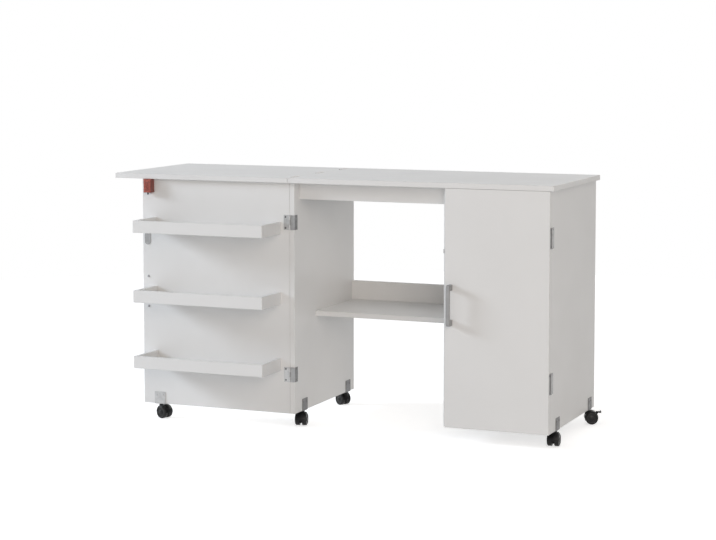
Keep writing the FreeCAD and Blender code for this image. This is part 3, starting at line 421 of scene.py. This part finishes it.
def slab(bm, low, high, place=Matrix()):
    """A box between two corners; returns its vertices."""
    low, high = Vector(low), Vector(high)
    size = high - low
    matrix = place @ Matrix.Translation((low + high) / 2) @ Matrix.Diagonal((*size, 1.0))
    return bmesh.ops.create_cube(bm, size=1.0, matrix=matrix)["verts"]


def join(bm, extra):
    """Add one mesh to another and free it."""
    carrier = bpy.data.meshes.new("carrier")
    extra.to_mesh(carrier)
    extra.free()
    bm.from_mesh(carrier)
    bpy.data.meshes.remove(carrier)


def soft_slab(bm, low, high, lip, place=Matrix()):
    """Add a box between two corners, with softened edges."""
    block = bmesh.new()
    slab(block, low, high, place)
    softened(block, lip)
    join(bm, block)


def turned(bm, profile, steps, place=Matrix()):
    """Spin a profile of (radius, height) points about Z into a closed solid."""
    points = [bm.verts.new(place @ Vector((radius, 0.0, height))) for radius, height in profile]
    edges = [bm.edges.new(pair) for pair in zip(points, points[1:])]
    if profile[0][0] > 0.0:
        edges.append(bm.edges.new((points[-1], points[0])))
    axis = place.to_3x3() @ Vector((0.0, 0.0, 1.0))
    bmesh.ops.spin(bm, geom=points + edges, cent=place.translation, axis=axis, angle=2 * math.pi, steps=steps,
                   use_merge=True)


def rod(bm, radius, half, steps, place):
    """A round bar about Z that reaches half its length to each side."""
    turned(bm, [(0.0, -half), (radius, -half), (radius, half), (0.0, half)], steps, place)


def cleaned(bm):
    """Merge doubles and point the faces outwards."""
    bmesh.ops.remove_doubles(bm, verts=bm.verts, dist=SAME_POINT)
    bmesh.ops.dissolve_degenerate(bm, dist=NO_LENGTH, edges=bm.edges)
    bmesh.ops.recalc_face_normals(bm, faces=bm.faces)


def piece(name, bm, materials, body, replaces=()):
    """Turn a mesh in place into a finished piece that rides on a body."""
    cleaned(bm)
    mesh = bpy.data.meshes.new(name)
    bm.to_mesh(mesh)
    bm.free()
    mesh.shade_smooth()
    mesh.set_sharp_from_angle(angle=SHARP_SHADING)
    for material in materials:
        mesh.materials.append(material)
    made = bpy.data.objects.new(name, mesh)
    bpy.context.scene.collection.objects.link(made)
    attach(made, body)
    if replaces:
        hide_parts(*replaces)


def stand_in(node, bm, *materials):
    """A piece that stands for one node, on the same body."""
    piece(node + "_dressed", bm, materials, BODY_OF[node], (node,))


def solids(node):
    """The vertices of each separate solid of a node, the solids in the order of their low corners."""
    bm = bmesh.new()
    bm.from_mesh(frame["nodes"][node].data)
    bmesh.ops.remove_doubles(bm, verts=bm.verts, dist=SAME_POINT)
    left = set(bm.verts)
    found = []
    while left:
        seed = left.pop()
        heap, island = [seed], [seed.co.copy()]
        while heap:
            for edge in heap.pop().link_edges:
                for vertex in edge.verts:
                    if vertex in left:
                        left.remove(vertex)
                        heap.append(vertex)
                        island.append(vertex.co.copy())
        found.append(island)
    bm.free()
    return sorted(found, key=lambda points: tuple(round(value, 5) for value in points_box(points)[0]))


def points_box(points):
    low = Vector([min(point[axis] for point in points) for axis in range(3)])
    high = Vector([max(point[axis] for point in points) for axis in range(3)])
    return low, high


# ---------------------------------------------------------------- screws

TURN_BETWEEN_SCREWS = math.radians(37.0)
BLACK, WHITE, PLATED, AS_BRACKET = range(4)


def read_screw(points):
    """Place of a screw solid, with its head's seat at Z = 0 and its point down, and its sizes."""
    low, high = points_box(points)
    size = high - low
    along = max(range(3), key=lambda axis: size[axis])
    centre = (low + high) / 2

    def radius(point):
        return math.hypot(*(point[axis] - centre[axis] for axis in range(3) if axis != along))

    head = max(radius(point) for point in points)
    rim, off_axis = 0.97 * head, 0.2 * head
    heights = sorted({round(point[along], 6) for point in points if radius(point) > rim})
    up = 1.0 if heights[-1] > centre[along] else -1.0
    rise = heights[-1] - heights[0]
    seat = heights[0] if up > 0 else heights[-1]
    shank = min(radius(point) for point in points if radius(point) > off_axis)
    direction = Vector([up if axis == along else 0.0 for axis in range(3)])
    origin = centre.copy()
    origin[along] = seat
    matrix = Matrix.Translation(origin) @ direction.to_track_quat("Z", "Y").to_matrix().to_4x4()
    return matrix, round(head, 5), round(shank, 5), round(rise, 5), round(size[along] - rise, 5)


def screw_mesh(head, shank, rise, reach):
    """One screw with a cross recess; a head without rise is countersunk."""
    use = settings("hardware")
    crown = 0.12 * head
    if rise > 0:
        top = [(0.0, rise), (0.55 * head, rise - 0.10 * rise), (0.86 * head, 0.70 * rise),
               (head, 0.25 * rise), (head, 0.0), (shank, 0.0)]
    else:
        top = [(0.0, 0.0), (head - crown, 0.0), (head, -crown / 2), (shank, shank - head)]
    bm = bmesh.new()
    turned(bm, top + [(shank, shank - reach), (0.0, -reach)], 24)
    cleaned(bm)
    body = bpy.data.meshes.new("screw_body")
    bm.to_mesh(body)
    bm.free()
    half_arm = use.recess_width * head / 2
    arm_end = 0.62 * head
    lengthwise, crosswise = 0.55, 0.8
    deep = 2 * use.recess_depth * head
    bm = bmesh.new()
    for reach_x, reach_y in ((arm_end, half_arm), (half_arm, arm_end)):
        foot = slab(bm, (-reach_x, -reach_y, rise - deep), (reach_x, reach_y, rise + head))
        for vertex in foot:
            if vertex.co.z < rise:
                vertex.co.x *= lengthwise if reach_x > reach_y else crosswise
                vertex.co.y *= lengthwise if reach_y > reach_x else crosswise
    tool = bpy.data.meshes.new("screw_recess")
    bm.to_mesh(tool)
    bm.free()
    return carved(body, tool)


def carved(body, tool):
    """Cut one mesh out of another."""
    scene = bpy.context.scene.collection
    whole = bpy.data.objects.new("carved_body", body)
    cutter = bpy.data.objects.new("carving_tool", tool)
    for thing in (whole, cutter):
        scene.objects.link(thing)
    cut = whole.modifiers.new("Cut", "BOOLEAN")
    cut.object = cutter
    cut.operation = "DIFFERENCE"
    cut.solver = "EXACT"
    cut.use_self = True
    shown = whole.evaluated_get(bpy.context.evaluated_depsgraph_get())
    result = bpy.data.meshes.new_from_object(shown)
    for thing in (whole, cutter):
        bpy.data.objects.remove(thing)
    return result


class DressScrews(bpy.types.Operator):
    """Screws with cross recesses in place of the plain ones"""
    bl_idname = "sewing_table.screws"
    bl_label = "Screws"

    def execute(self, context):
        use = settings("metals")
        black = plated_finish("black_screws", use.screw)
        white = lacquered_finish("white_screws", use.white, 0.0)
        bright = plated_finish("bright_screws", use.pin)
        dull = plated_finish("bracket_screws", use.bracket, metallic=DULL_PLATING)
        pale = plated_finish("door_bracket_screws", use.door_bracket, metallic=PALE_PLATING)
        templates = {}
        for node in sorted(name for name in frame["nodes"] if name.endswith("_screws")):
            bm = bmesh.new()
            for count, points in enumerate(solids(node)):
                matrix, *sizes = read_screw(points)
                key = tuple(sizes)
                if key not in templates:
                    templates[key] = screw_mesh(*key)
                twist = Matrix.Rotation(count * TURN_BETWEEN_SCREWS, 4, "Z")
                copy = templates[key].copy()
                copy.transform(matrix @ twist)
                before = len(bm.faces)
                bm.from_mesh(copy)
                bpy.data.meshes.remove(copy)
                bm.faces.ensure_lookup_table()
                index = self.finish_of(matrix, sizes)
                for face in bm.faces[before:]:
                    face.material_index = index
            on_bracket = pale if node == "left_door_screws" else dull
            stand_in(node, bm, black, white, bright, on_bracket)
        return {"FINISHED"}

    def finish_of(self, matrix, sizes):
        """White in the top, plated in a handle or strike, like its bracket on a caster, and else black."""
        head, _, rise, _ = sizes
        looks_up = matrix.col[2].z > 0.5
        if looks_up:
            return WHITE
        if rise > 0.0:
            return PLATED if head > settings("hardware").bracket_head else AS_BRACKET
        seat = matrix.translation
        strikes = [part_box(f"{side}_door_strike_plate") for side in ("left", "right")]
        return PLATED if any(low.x < seat.x < high.x for low, high in strikes) else BLACK


# ---------------------------------------------------------------- casters

# Along the axle, from the middle between the two wheels.
WHEEL_NEAR = 4.3 * MM
WHEEL_FAR = 18.3 * MM
GUARD_HALF = 15.0 * MM
WEB_HALF = 3.8 * MM
CHEEK_NEAR = 4.2 * MM
CHEEK_FAR = 6.2 * MM

# Seen from the side.
AXLE_RADIUS = 3.0 * MM
GUARD_GAP = 0.8 * MM            # round the wheels
GUARD_WALL = 1.8 * MM
GUARD_CUT = 12.5 * MM           # guard of a braked caster starts this far from the axle
WEB_LAP = 0.6 * MM              # web into the guard
WEB_FOOT = 10.0 * MM            # lower end of the web above the floor
BOSS_RADIUS = 7.0 * MM
BOSS_CHAMFER = 0.6 * MM
BOSS_FOOT = 3.0 * MM            # below the axle
BOSS_GAP = 0.4 * MM             # below the bracket
STEM_RADIUS = 3.5 * MM
EAR_RADIUS = 4.0 * MM
BRAKE_PIN_RADIUS = 1.5 * MM
BRAKE_PIN_PLACE = (17.3 * MM, 0.0, 16.6 * MM)
ACROSS = Matrix.Rotation(-math.pi / 2, 4, "X")


class Caster:
    """Where one caster's swivel, axle and brake pin lie, read from its joints."""

    def __init__(self, key):
        stem = Vector(JOINTS[key + "_caster_swivel"]["pos_m"])
        roll = JOINTS[key + "_wheel_roll"]
        axle = Vector(roll["pos_m"])
        self.radius = axle.z
        self.across = Vector(roll["axis"]).normalized()
        trailing = self.across.cross(Vector((0.0, 0.0, 1.0)))
        turning = Matrix((trailing, self.across, (0.0, 0.0, 1.0))).transposed().to_4x4()
        self.at_axle = Matrix.Translation(axle) @ turning
        self.at_stem = Matrix.Translation((stem.x, stem.y, axle.z)) @ turning
        self.spin = self.at_axle @ ACROSS
        to_pin = Matrix.Translation(self.at_axle.to_3x3() @ Vector(BRAKE_PIN_PLACE))
        self.at_pin = to_pin @ self.at_axle
        self.pin_spin = to_pin @ self.spin


def wheel_profile(radius, near, far):
    """Half section of one wheel as (radius, height along the axle) points."""
    lip = radius - 4.4 * MM
    dish = far - 1.5 * MM
    tread = [(0.0, near), (radius - 0.9 * MM, near), (radius - 0.25 * MM, near + 0.3 * MM),
             (radius, near + 1.0 * MM), (radius, far - 4.2 * MM)]
    shoulder = [(radius - 0.3 * MM, far - 2.6 * MM), (radius - 1.1 * MM, far - 1.2 * MM),
                (radius - 2.2 * MM, far - 0.4 * MM), (radius - 3.2 * MM, far), (lip, far - 0.1 * MM)]
    hollow = [(lip - 0.7 * MM, dish + 0.3 * MM), (lip - 1.6 * MM, dish), (7.4 * MM, dish)]
    hub = [(6.9 * MM, dish + 0.3 * MM), (6.5 * MM, far + 0.1 * MM), (5.6 * MM, far + 0.5 * MM),
           (0.0, far + 0.6 * MM)]
    return tread + shoulder + hollow + hub


def shape_wheels(bm, caster):
    """Two dished wheels back to back, and the axle between them."""
    for place in (caster.spin, caster.spin @ Matrix.Rotation(math.pi, 4, "X")):
        turned(bm, wheel_profile(caster.radius, WHEEL_NEAR, WHEEL_FAR), 56, place)
    rod(bm, AXLE_RADIUS, WHEEL_NEAR, 24, caster.spin)


def swept_guard(bm, caster, outer, inner, half, start):
    """Mudguard round the wheels, from the angle start above the trail to the front."""
    lip = 1.1 * MM
    cut = lip * 0.3
    crown = outer + 0.3 * MM
    section = [(inner, -half), (outer - lip, -half), (outer - cut, -half + cut), (outer, -half + lip),
               (crown, 0.0), (outer, half - lip), (outer - cut, half - cut), (outer - lip, half),
               (inner, half)]
    tilt = Matrix.Rotation(-start, 4, "Y")
    points = [bm.verts.new(caster.at_axle @ tilt @ Vector((radius, y, 0.0))) for radius, y in section]
    face = bm.faces.new(points)
    bmesh.ops.spin(bm, geom=[face, *face.edges, *face.verts], cent=caster.at_axle.translation,
                   axis=-caster.across, angle=math.pi - start, steps=28)


def shape_hood(bm, caster, node, braked):
    """Guard, web, boss and stem of a caster, and on a braked one the ear and pin of its lever."""
    inner = caster.radius + GUARD_GAP
    outer = inner + GUARD_WALL
    start = math.acos(GUARD_CUT / outer) if braked else 0.0
    swept_guard(bm, caster, outer, inner, GUARD_HALF, start)
    web = bmesh.new()
    rod(web, inner + WEB_LAP, WEB_HALF, 48, caster.spin)
    cleaned(web)
    cut = bmesh.ops.bisect_plane(web, geom=[*web.verts, *web.edges, *web.faces],
                                 plane_co=(0.0, 0.0, WEB_FOOT), plane_no=(0.0, 0.0, 1.0), clear_inner=True)
    rim = [item for item in cut["geom_cut"] if isinstance(item, bmesh.types.BMEdge)]
    bmesh.ops.holes_fill(web, edges=rim, sides=0)
    cleaned(web)
    softened(web, settings("hardware").lip)
    join(bm, web)
    boss_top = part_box(node.replace("_hood", "_bracket"))[0].z - BOSS_GAP - caster.radius
    stem_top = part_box(node)[1].z - caster.radius
    turned(bm, [(0.0, -BOSS_FOOT), (BOSS_RADIUS, -BOSS_FOOT), (BOSS_RADIUS, boss_top - BOSS_CHAMFER),
                (BOSS_RADIUS - BOSS_CHAMFER, boss_top), (STEM_RADIUS, boss_top), (STEM_RADIUS, stem_top),
                (0.0, stem_top)], 40, caster.at_stem)
    if braked:
        rod(bm, EAR_RADIUS, WEB_HALF, 28, caster.pin_spin)
        rod(bm, BRAKE_PIN_RADIUS, CHEEK_FAR, 20, caster.pin_spin)


def shape_lever(bm, caster):
    """Brake pedal with grip ribs and an upturned toe, its two cheeks and their eyes."""
    lip = settings("hardware").lip
    heel, tip, half, thick = 4.4 * MM, 12.7 * MM, 11.0 * MM, 2.4 * MM
    ribs, rib_half, rib_inset, rib_root, rib_rise = 3, 0.6 * MM, 2 * MM, 0.2 * MM, 0.5 * MM
    toe_length, toe_rise = 2.2 * MM, 2.8 * MM
    eye_hole, eye_radius = 1.55 * MM, 3.2 * MM
    rib_lip, cheek_lip = 0.25 * MM, 0.3 * MM
    soft_slab(bm, (heel, -half, 0.0), (tip, half, thick), lip, caster.at_pin)
    for rib in range(ribs):
        middle = heel + (rib + 1) * (tip - heel) / (ribs + 1)
        soft_slab(bm, (middle - rib_half, -half + rib_inset, thick - rib_root),
                  (middle + rib_half, half - rib_inset, thick + rib_rise), rib_lip, caster.at_pin)
    soft_slab(bm, (tip - toe_length, -half, thick / 2), (tip, half, thick + toe_rise), lip, caster.at_pin)
    for side in (-1.0, 1.0):
        near, far = sorted((side * CHEEK_NEAR, side * CHEEK_FAR))
        soft_slab(bm, (0.0, near, 0.0), (heel + thick, far, thick), cheek_lip, caster.at_pin)
        turned(bm, [(eye_hole, near), (eye_radius, near), (eye_radius, far), (eye_hole, far)], 28,
               caster.at_pin @ ACROSS)


class DressCasters(bpy.types.Operator):
    """Moulded hoods, dished twin wheels and ribbed brake pedals"""
    bl_idname = "sewing_table.casters"
    bl_label = "Casters"

    def execute(self, context):
        use = settings("plastics")
        nylon = moulded_finish("black_nylon", use.hood, 0.28, gloss=0.16)
        tread = moulded_finish("wheel_nylon", use.wheel, 0.32, dust=use.dust, gloss=0.24)
        for key in CASTERS:
            caster = Caster(key)
            bm = bmesh.new()
            shape_wheels(bm, caster)
            stand_in(f"{key}_caster_wheels", bm, tread)
            hood = f"{key}_caster_hood"
            bm = bmesh.new()
            shape_hood(bm, caster, hood, key in BRAKED)
            stand_in(hood, bm, nylon)
            if key in BRAKED:
                bm = bmesh.new()
                shape_lever(bm, caster)
                stand_in(f"{key}_caster_brake_lever", bm, nylon)
        return {"FINISHED"}


# ---------------------------------------------------------------- brackets

BRACKET_SHEET = 1.6 * MM
SAME_HEIGHT = 1e-5


def shape_bracket(bm, node):
    """U-shaped sheet round the board's lower end, with rounded corners and bends."""
    use = settings("hardware")
    low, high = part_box(node)
    width = high - low
    across = 0 if width.x < width.y else 1
    along = 1 - across
    middle = (low + high) / 2
    outer = width[across] / 2
    inner = outer - BRACKET_SHEET
    seat = low.z + BRACKET_SHEET
    section = [(-outer, high.z), (-outer, low.z), (outer, low.z), (outer, high.z),
               (inner, high.z), (inner, seat), (-inner, seat), (-inner, high.z)]

    def placed(offset, height):
        point = middle.copy()
        point[across] += offset
        point[along] = low[along]
        point.z = height
        return point

    shell = bmesh.new()
    face = shell.faces.new([shell.verts.new(placed(offset, height)) for offset, height in section])
    swept = bmesh.ops.extrude_face_region(shell, geom=[face], use_keep_orig=True)
    moved = [item for item in swept["geom"] if isinstance(item, bmesh.types.BMVert)]
    step = Vector((0.0, 0.0, 0.0))
    step[along] = width[along]
    bmesh.ops.translate(shell, verts=moved, vec=step)
    bmesh.ops.recalc_face_normals(shell, faces=shell.faces)

    def chosen(test):
        """Edges whose middle and direction pass the test."""
        return [edge for edge in shell.edges if test((edge.verts[0].co + edge.verts[1].co) / 2,
                                                     edge.verts[1].co - edge.verts[0].co)]

    corners = chosen(lambda point, way: (point.z > high.z - SAME_HEIGHT
                                         and abs(way[across]) > 0.5 * BRACKET_SHEET))
    bmesh.ops.bevel(shell, geom=corners, offset=use.flange_corner, segments=5, profile=0.5, affect="EDGES",
                    material=-1)
    bends = chosen(lambda point, way: (point.z < low.z + SAME_HEIGHT
                                       and abs(way[along]) > 0.5 * width[along]))
    bmesh.ops.bevel(shell, geom=bends, offset=use.bend, segments=4, profile=0.5, affect="EDGES",
                    material=-1)
    join(bm, shell)


class DressFittings(bpy.types.Operator):
    """Finishes of the hinges, handles, strike plates and pins, with painted light on the left door's hinge leaves
    and painted shade on the hinge legs in the kneehole, and shaped caster brackets
    """
    bl_idname = "sewing_table.fittings"
    bl_label = "Metal fittings"

    def execute(self, context):
        use = settings("metals")
        finishes = {
            "hinge_steel": plated_finish("plated_hinges", use.hinge, UPRIGHT_GRAIN),
            "strike_steel": plated_finish("plated_strikes", use.strike, LEVEL_GRAIN),
            "bright_steel": plated_finish("plated_pins", use.pin),
            "grey_handle_metal": lacquered_finish("satin_handles", use.handle),
            "white_steel": lacquered_finish("white_leaf_hinges", use.white, 0.0),
        }
        for slot, material in finishes.items():
            for node in nodes_in(slot):
                dress(node, material)
        # Painted light: the left door's hinge leaves get a lighter copy of the hinge steel.
        leaves = plated_finish("bright_door_leaves", use.painted_light_leaf, UPRIGHT_GRAIN)
        dress("left_door_hinge_door_leaves", leaves)
        self.paint_shade_on_legs(plated_finish("dull_hinge_legs", use.painted_shade_leg, UPRIGHT_GRAIN))
        dull = plated_finish("plated_brackets", use.bracket, BRACKET_GRAIN, DULL_PLATING)
        pale = plated_finish("bright_door_bracket", use.door_bracket, BRACKET_GRAIN, PALE_PLATING)
        for key in CASTERS:
            node = f"{key}_caster_bracket"
            bm = bmesh.new()
            shape_bracket(bm, node)
            stand_in(node, bm, pale if key == "door" else dull)
        return {"FINISHED"}

    def paint_shade_on_legs(self, material):
        """Painted shade: a darker copy of the hinge steel on the hinge legs that lie in the shade inside the
        kneehole.
        """
        mesh = frame["nodes"]["left_door_hinge_panel_leaves"].data
        mesh.materials.append(material)
        inner_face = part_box("left_side_panel")[1].x
        for face in mesh.polygons:
            face.material_index = int(face.center.x > inner_face)


# ---------------------------------------------------------------- boards

class DressBoards(bpy.types.Operator):
    """Melamine facing, edge banding and hardboard of the carcass, top, doors and trays"""
    bl_idname = "sewing_table.boards"
    bl_label = "Boards"

    def execute(self, context):
        for node in nodes_in("white_board"):
            low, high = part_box(node)
            if node.endswith("_tray_ends"):
                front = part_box(node.replace("_ends", "_front"))
                thickness = (front[1] - front[0]).y
                material = board_finish(node, 0, (high.x - low.x) / 2 - thickness / 2)
            elif node == "cabinet_shelves":
                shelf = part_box("kneehole_shelf")
                thickness = (shelf[1] - shelf[0]).z
                material = board_finish(node, 2, (high.z - low.z) / 2 - thickness / 2)
            else:
                material = board_finish(node)
            dress(node, material)
        for node in nodes_in("white_hardboard"):
            dress(node, hardboard_finish())
        return {"FINISHED"}


# Boards with caps, and the axis and side that the caps look to.
COVERED = (("front_top_rail", 1, 1), ("rear_top_rail", 1, -1), ("kneehole_back_rail", 1, 1),
           ("kneehole_shelf", 2, -1), ("cabinet_bottom", 2, 1))

# Rows of caps from the board's middle, as shares of its width.
ONE_ROW = (0.0,)
TWO_ROWS = (-0.3, 0.3)


class DressCamCovers(bpy.types.Operator):
    """Caps over the cam fittings on the hidden sides of the rails and the lying boards"""
    bl_idname = "sewing_table.cam_covers"
    bl_label = "Cam covers"

    def execute(self, context):
        use = settings("hardware")
        plastic = moulded_finish("cover_plastic", settings("plastics").catch, 0.4, CATCH_GRAIN, 0.01)
        bm = bmesh.new()
        for node, axis, side in COVERED:
            low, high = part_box(node)
            middle = (low + high) / 2
            spread = 1 if axis == 2 else 2
            size = (high - low)[spread]
            rows = TWO_ROWS if axis == 2 else ONE_ROW
            for end, way in ((low.x, 1.0), (high.x, -1.0)):
                for row in rows:
                    seat = middle.copy()
                    seat.x = end + way * use.cover_inset
                    seat[spread] += row * size
                    seat[axis] = high[axis] if side > 0 else low[axis]
                    outward = Vector([float(side) if index == axis else 0.0 for index in range(3)])
                    place = Matrix.Translation(seat) @ outward.to_track_quat("Z", "Y").to_matrix().to_4x4()
                    self.cap(bm, place, use.cover_radius, use.cover_rise)
        piece("cam_covers", bm, [plastic], "cabinet")
        return {"FINISHED"}

    def cap(self, bm, place, radius, rise):
        """A cap with a raised ring; its foot is let into the board."""
        foot = -0.2 * MM
        profile = [(0.0, rise * 0.75), (radius * 0.55, rise * 0.75), (radius * 0.62, rise),
                   (radius * 0.90, rise * 0.9), (radius, rise * 0.3), (radius, foot), (0.0, foot)]
        turned(bm, profile, 32, place)


# ---------------------------------------------------------------- lock and catches

class DressCatches(bpy.types.Operator):
    """Magnetic catches: moulded housings with a steel pole plate along the divider"""
    bl_idname = "sewing_table.catches"
    bl_label = "Magnetic catches"

    def execute(self, context):
        use = settings("hardware")
        housing = bmesh.new()
        poles = bmesh.new()
        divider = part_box("centre_divider")[0].x
        margin, tail = 6 * MM, 1 * MM
        for points in solids("magnetic_catches"):
            low, high = points_box(points)
            soft_slab(housing, (low.x, low.y + use.pole_reach, low.z), high, use.lip / 2)
            start = high.x - use.pole_width if low.x < divider else low.x
            slab(poles, (start, low.y, low.z + margin),
                 (start + use.pole_width, low.y + use.pole_reach + tail, high.z - margin))
        plastic = moulded_finish("catch_plastic", settings("plastics").catch, 0.35, CATCH_GRAIN, 0.01)
        stand_in("magnetic_catches", housing, plastic)
        steel = plated_finish("catch_poles", settings("metals").door_bracket, metallic=PALE_PLATING)
        piece("magnetic_catch_poles", poles, [steel], "cabinet")
        return {"FINISHED"}


class DressLock(bpy.types.Operator):
    """Leaf lock: finish of the housing, with painted shade on its right side, and its bolt, with moulded ribs"""
    bl_idname = "sewing_table.leaf_lock"
    bl_label = "Leaf lock"

    def execute(self, context):
        use = settings("plastics")
        # The random darker mottle spots of the housing take the colour of the painted shade.
        red = moulded_finish("red_plastic", use.lock, 0.30, LOCK_GRAIN, 0.015, dust=use.lock_shade_and_mottle,
                             patchy=(0.44, 0.56, 0.9))
        dress("leaf_lock_housing", red)
        housing = frame["nodes"]["leaf_lock_housing"].data
        # Painted shade: a second, darker red on the faces that look right, away from the key lamp.
        housing.materials.append(moulded_finish("red_lock_side", use.lock_shade_and_mottle, 0.36, LOCK_GRAIN, 0.015))
        for face in housing.polygons:
            looks_right = face.normal.x > 0.7
            face.material_index = int(looks_right)
        dress("leaf_lock_bolt", moulded_finish("bolt_plastic", use.bolt, 0.35))
        low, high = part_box("leaf_lock_housing")
        ribs = bmesh.new()
        count, half, rise, root, margin, lip = 4, 0.9 * MM, 0.7 * MM, 1 * MM, 7 * MM, 0.4 * MM
        for index in range(count):
            middle = low.x + (high.x - low.x) * (index + 1.5) / (count + 2)
            soft_slab(ribs, (middle - half, low.y - rise, low.z + margin),
                      (middle + half, low.y + root, high.z - margin), lip)
        piece("leaf_lock_ribs", ribs, [red], "left_door")
        return {"FINISHED"}


# ---------------------------------------------------------------- stage

SENSOR_WIDTH = 36.0
LAMPS_AIM = Vector((0.0, 0.0, 0.4))


def unlit_white(tree, dimmed, shown):
    """Show the second shader to the camera, mirrors and glass, and the first to all else."""
    path = tree.nodes.new("ShaderNodeLightPath")
    seen = path.outputs["Is Camera Ray"]
    for other in ("Is Glossy Ray", "Is Transmission Ray"):
        either = tree.nodes.new("ShaderNodeMath")
        either.operation = "MAXIMUM"
        tree.links.new(seen, either.inputs[0])
        tree.links.new(path.outputs[other], either.inputs[1])
        seen = either.outputs[0]
    mix = tree.nodes.new("ShaderNodeMixShader")
    tree.links.new(seen, mix.inputs[0])
    tree.links.new(dimmed, mix.inputs[1])
    tree.links.new(shown, mix.inputs[2])
    return mix.outputs[0]


class BuildStage(bpy.types.Operator):
    """Camera, soft lamps, white world and pale floor"""
    bl_idname = "sewing_table.stage"
    bl_label = "Stage"

    def execute(self, context):
        use = settings("stage")
        scene = context.scene
        scene.view_settings.view_transform = "Standard"
        lens = bpy.data.cameras.new("table_camera")
        lens.lens = use.lens
        lens.sensor_width = SENSOR_WIDTH
        lens.shift_y = -use.drop
        camera = bpy.data.objects.new("table_camera", lens)
        camera.location = use.eye
        camera.rotation_euler = (math.pi / 2 - use.dip, 0.0, use.heading)
        scene.collection.objects.link(camera)
        scene.camera = camera
        for name, colour in (("key", use.cool), ("side", use.warm), ("front", use.warm), ("back", use.mild)):
            self.lamp(scene, use, name, colour)
        self.world(scene, use)
        self.floor(scene, use)
        return {"FINISHED"}

    def lamp(self, scene, use, name, colour):
        place = Vector(getattr(use, name + "_place"))
        light = bpy.data.lights.new(name + "_lamp", "AREA")
        light.shape = "DISK"
        light.energy = getattr(use, name + "_power")
        light.size = use.key_size if name == "key" else use.soft_size
        light.color = colour
        holder = bpy.data.objects.new(name + "_lamp", light)
        holder.location = place
        holder.rotation_euler = (LAMPS_AIM - place).to_track_quat("-Z", "Y").to_euler()
        scene.collection.objects.link(holder)

    def world(self, scene, use):
        world = bpy.data.worlds.new("studio_white")
        world.use_nodes = True
        tree = world.node_tree
        tree.nodes.clear()
        lit = tree.nodes.new("ShaderNodeBackground")
        lit.inputs["Strength"].default_value = use.fill
        shown = tree.nodes.new("ShaderNodeBackground")
        for background in (lit, shown):
            background.inputs["Color"].default_value = (1.0, 1.0, 1.0, 1.0)
        output = tree.nodes.new("ShaderNodeOutputWorld")
        tree.links.new(unlit_white(tree, lit.outputs[0], shown.outputs[0]), output.inputs["Surface"])
        scene.world = world

    def floor(self, scene, use):
        bm = bmesh.new()
        bmesh.ops.create_circle(bm, cap_ends=True, segments=96, radius=use.floor_radius)
        mesh = bpy.data.meshes.new("studio_floor")
        bm.to_mesh(mesh)
        bm.free()
        material = bpy.data.materials.new("pale_floor")
        material.use_nodes = True
        tree = material.node_tree
        diffuse = tree.nodes["Principled BSDF"]
        diffuse.inputs["Base Color"].default_value = (*use.floor, 1.0)
        diffuse.inputs["Roughness"].default_value = 0.9
        diffuse.inputs["Specular IOR Level"].default_value = 0.0
        emission = tree.nodes.new("ShaderNodeEmission")
        emission.inputs["Strength"].default_value = use.glow
        added = tree.nodes.new("ShaderNodeAddShader")
        tree.links.new(diffuse.outputs[0], added.inputs[0])
        tree.links.new(emission.outputs[0], added.inputs[1])
        shown = unlit_white(tree, diffuse.outputs[0], added.outputs[0])
        tree.links.new(shown, tree.nodes["Material Output"].inputs["Surface"])
        mesh.materials.append(material)
        ground = bpy.data.objects.new("studio_floor", mesh)
        scene.collection.objects.link(ground)


OPERATORS = (DressBoards, DressFittings, DressScrews, DressCamCovers, DressCasters, DressCatches, DressLock,
             BuildStage)


class SewingTablePanel(bpy.types.Panel):
    """Sizes, colours and steps of the sewing table"""
    bl_idname = "VIEW3D_PT_sewing_table"
    bl_label = "Sewing Table"
    bl_space_type = "VIEW_3D"
    bl_region_type = "UI"
    bl_category = "Sewing Table"

    def draw(self, context):
        layout = self.layout
        for name, title, group in PANELS:
            box = layout.box()
            box.label(text=title)
            for key in group.__annotations__:
                box.prop(settings(name), key)
        for operator in OPERATORS:
            layout.operator(operator.bl_idname)


def register():
    for _, _, group in PANELS:
        bpy.utils.register_class(group)
    for name, _, group in PANELS:
        setattr(bpy.types.Scene, "sewing_table_" + name, bpy.props.PointerProperty(type=group))
    for operator in OPERATORS:
        bpy.utils.register_class(operator)
    bpy.utils.register_class(SewingTablePanel)


def unregister():
    bpy.utils.unregister_class(SewingTablePanel)
    for operator in reversed(OPERATORS):
        bpy.utils.unregister_class(operator)
    for name, _, group in reversed(PANELS):
        delattr(bpy.types.Scene, "sewing_table_" + name)
        bpy.utils.unregister_class(group)


def main():
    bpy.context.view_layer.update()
    register()
    bpy.ops.sewing_table.boards()
    bpy.ops.sewing_table.fittings()
    bpy.ops.sewing_table.screws()
    bpy.ops.sewing_table.cam_covers()
    bpy.ops.sewing_table.casters()
    bpy.ops.sewing_table.catches()
    bpy.ops.sewing_table.leaf_lock()
    bpy.ops.sewing_table.stage()


if __name__ == "__main__":
    main()
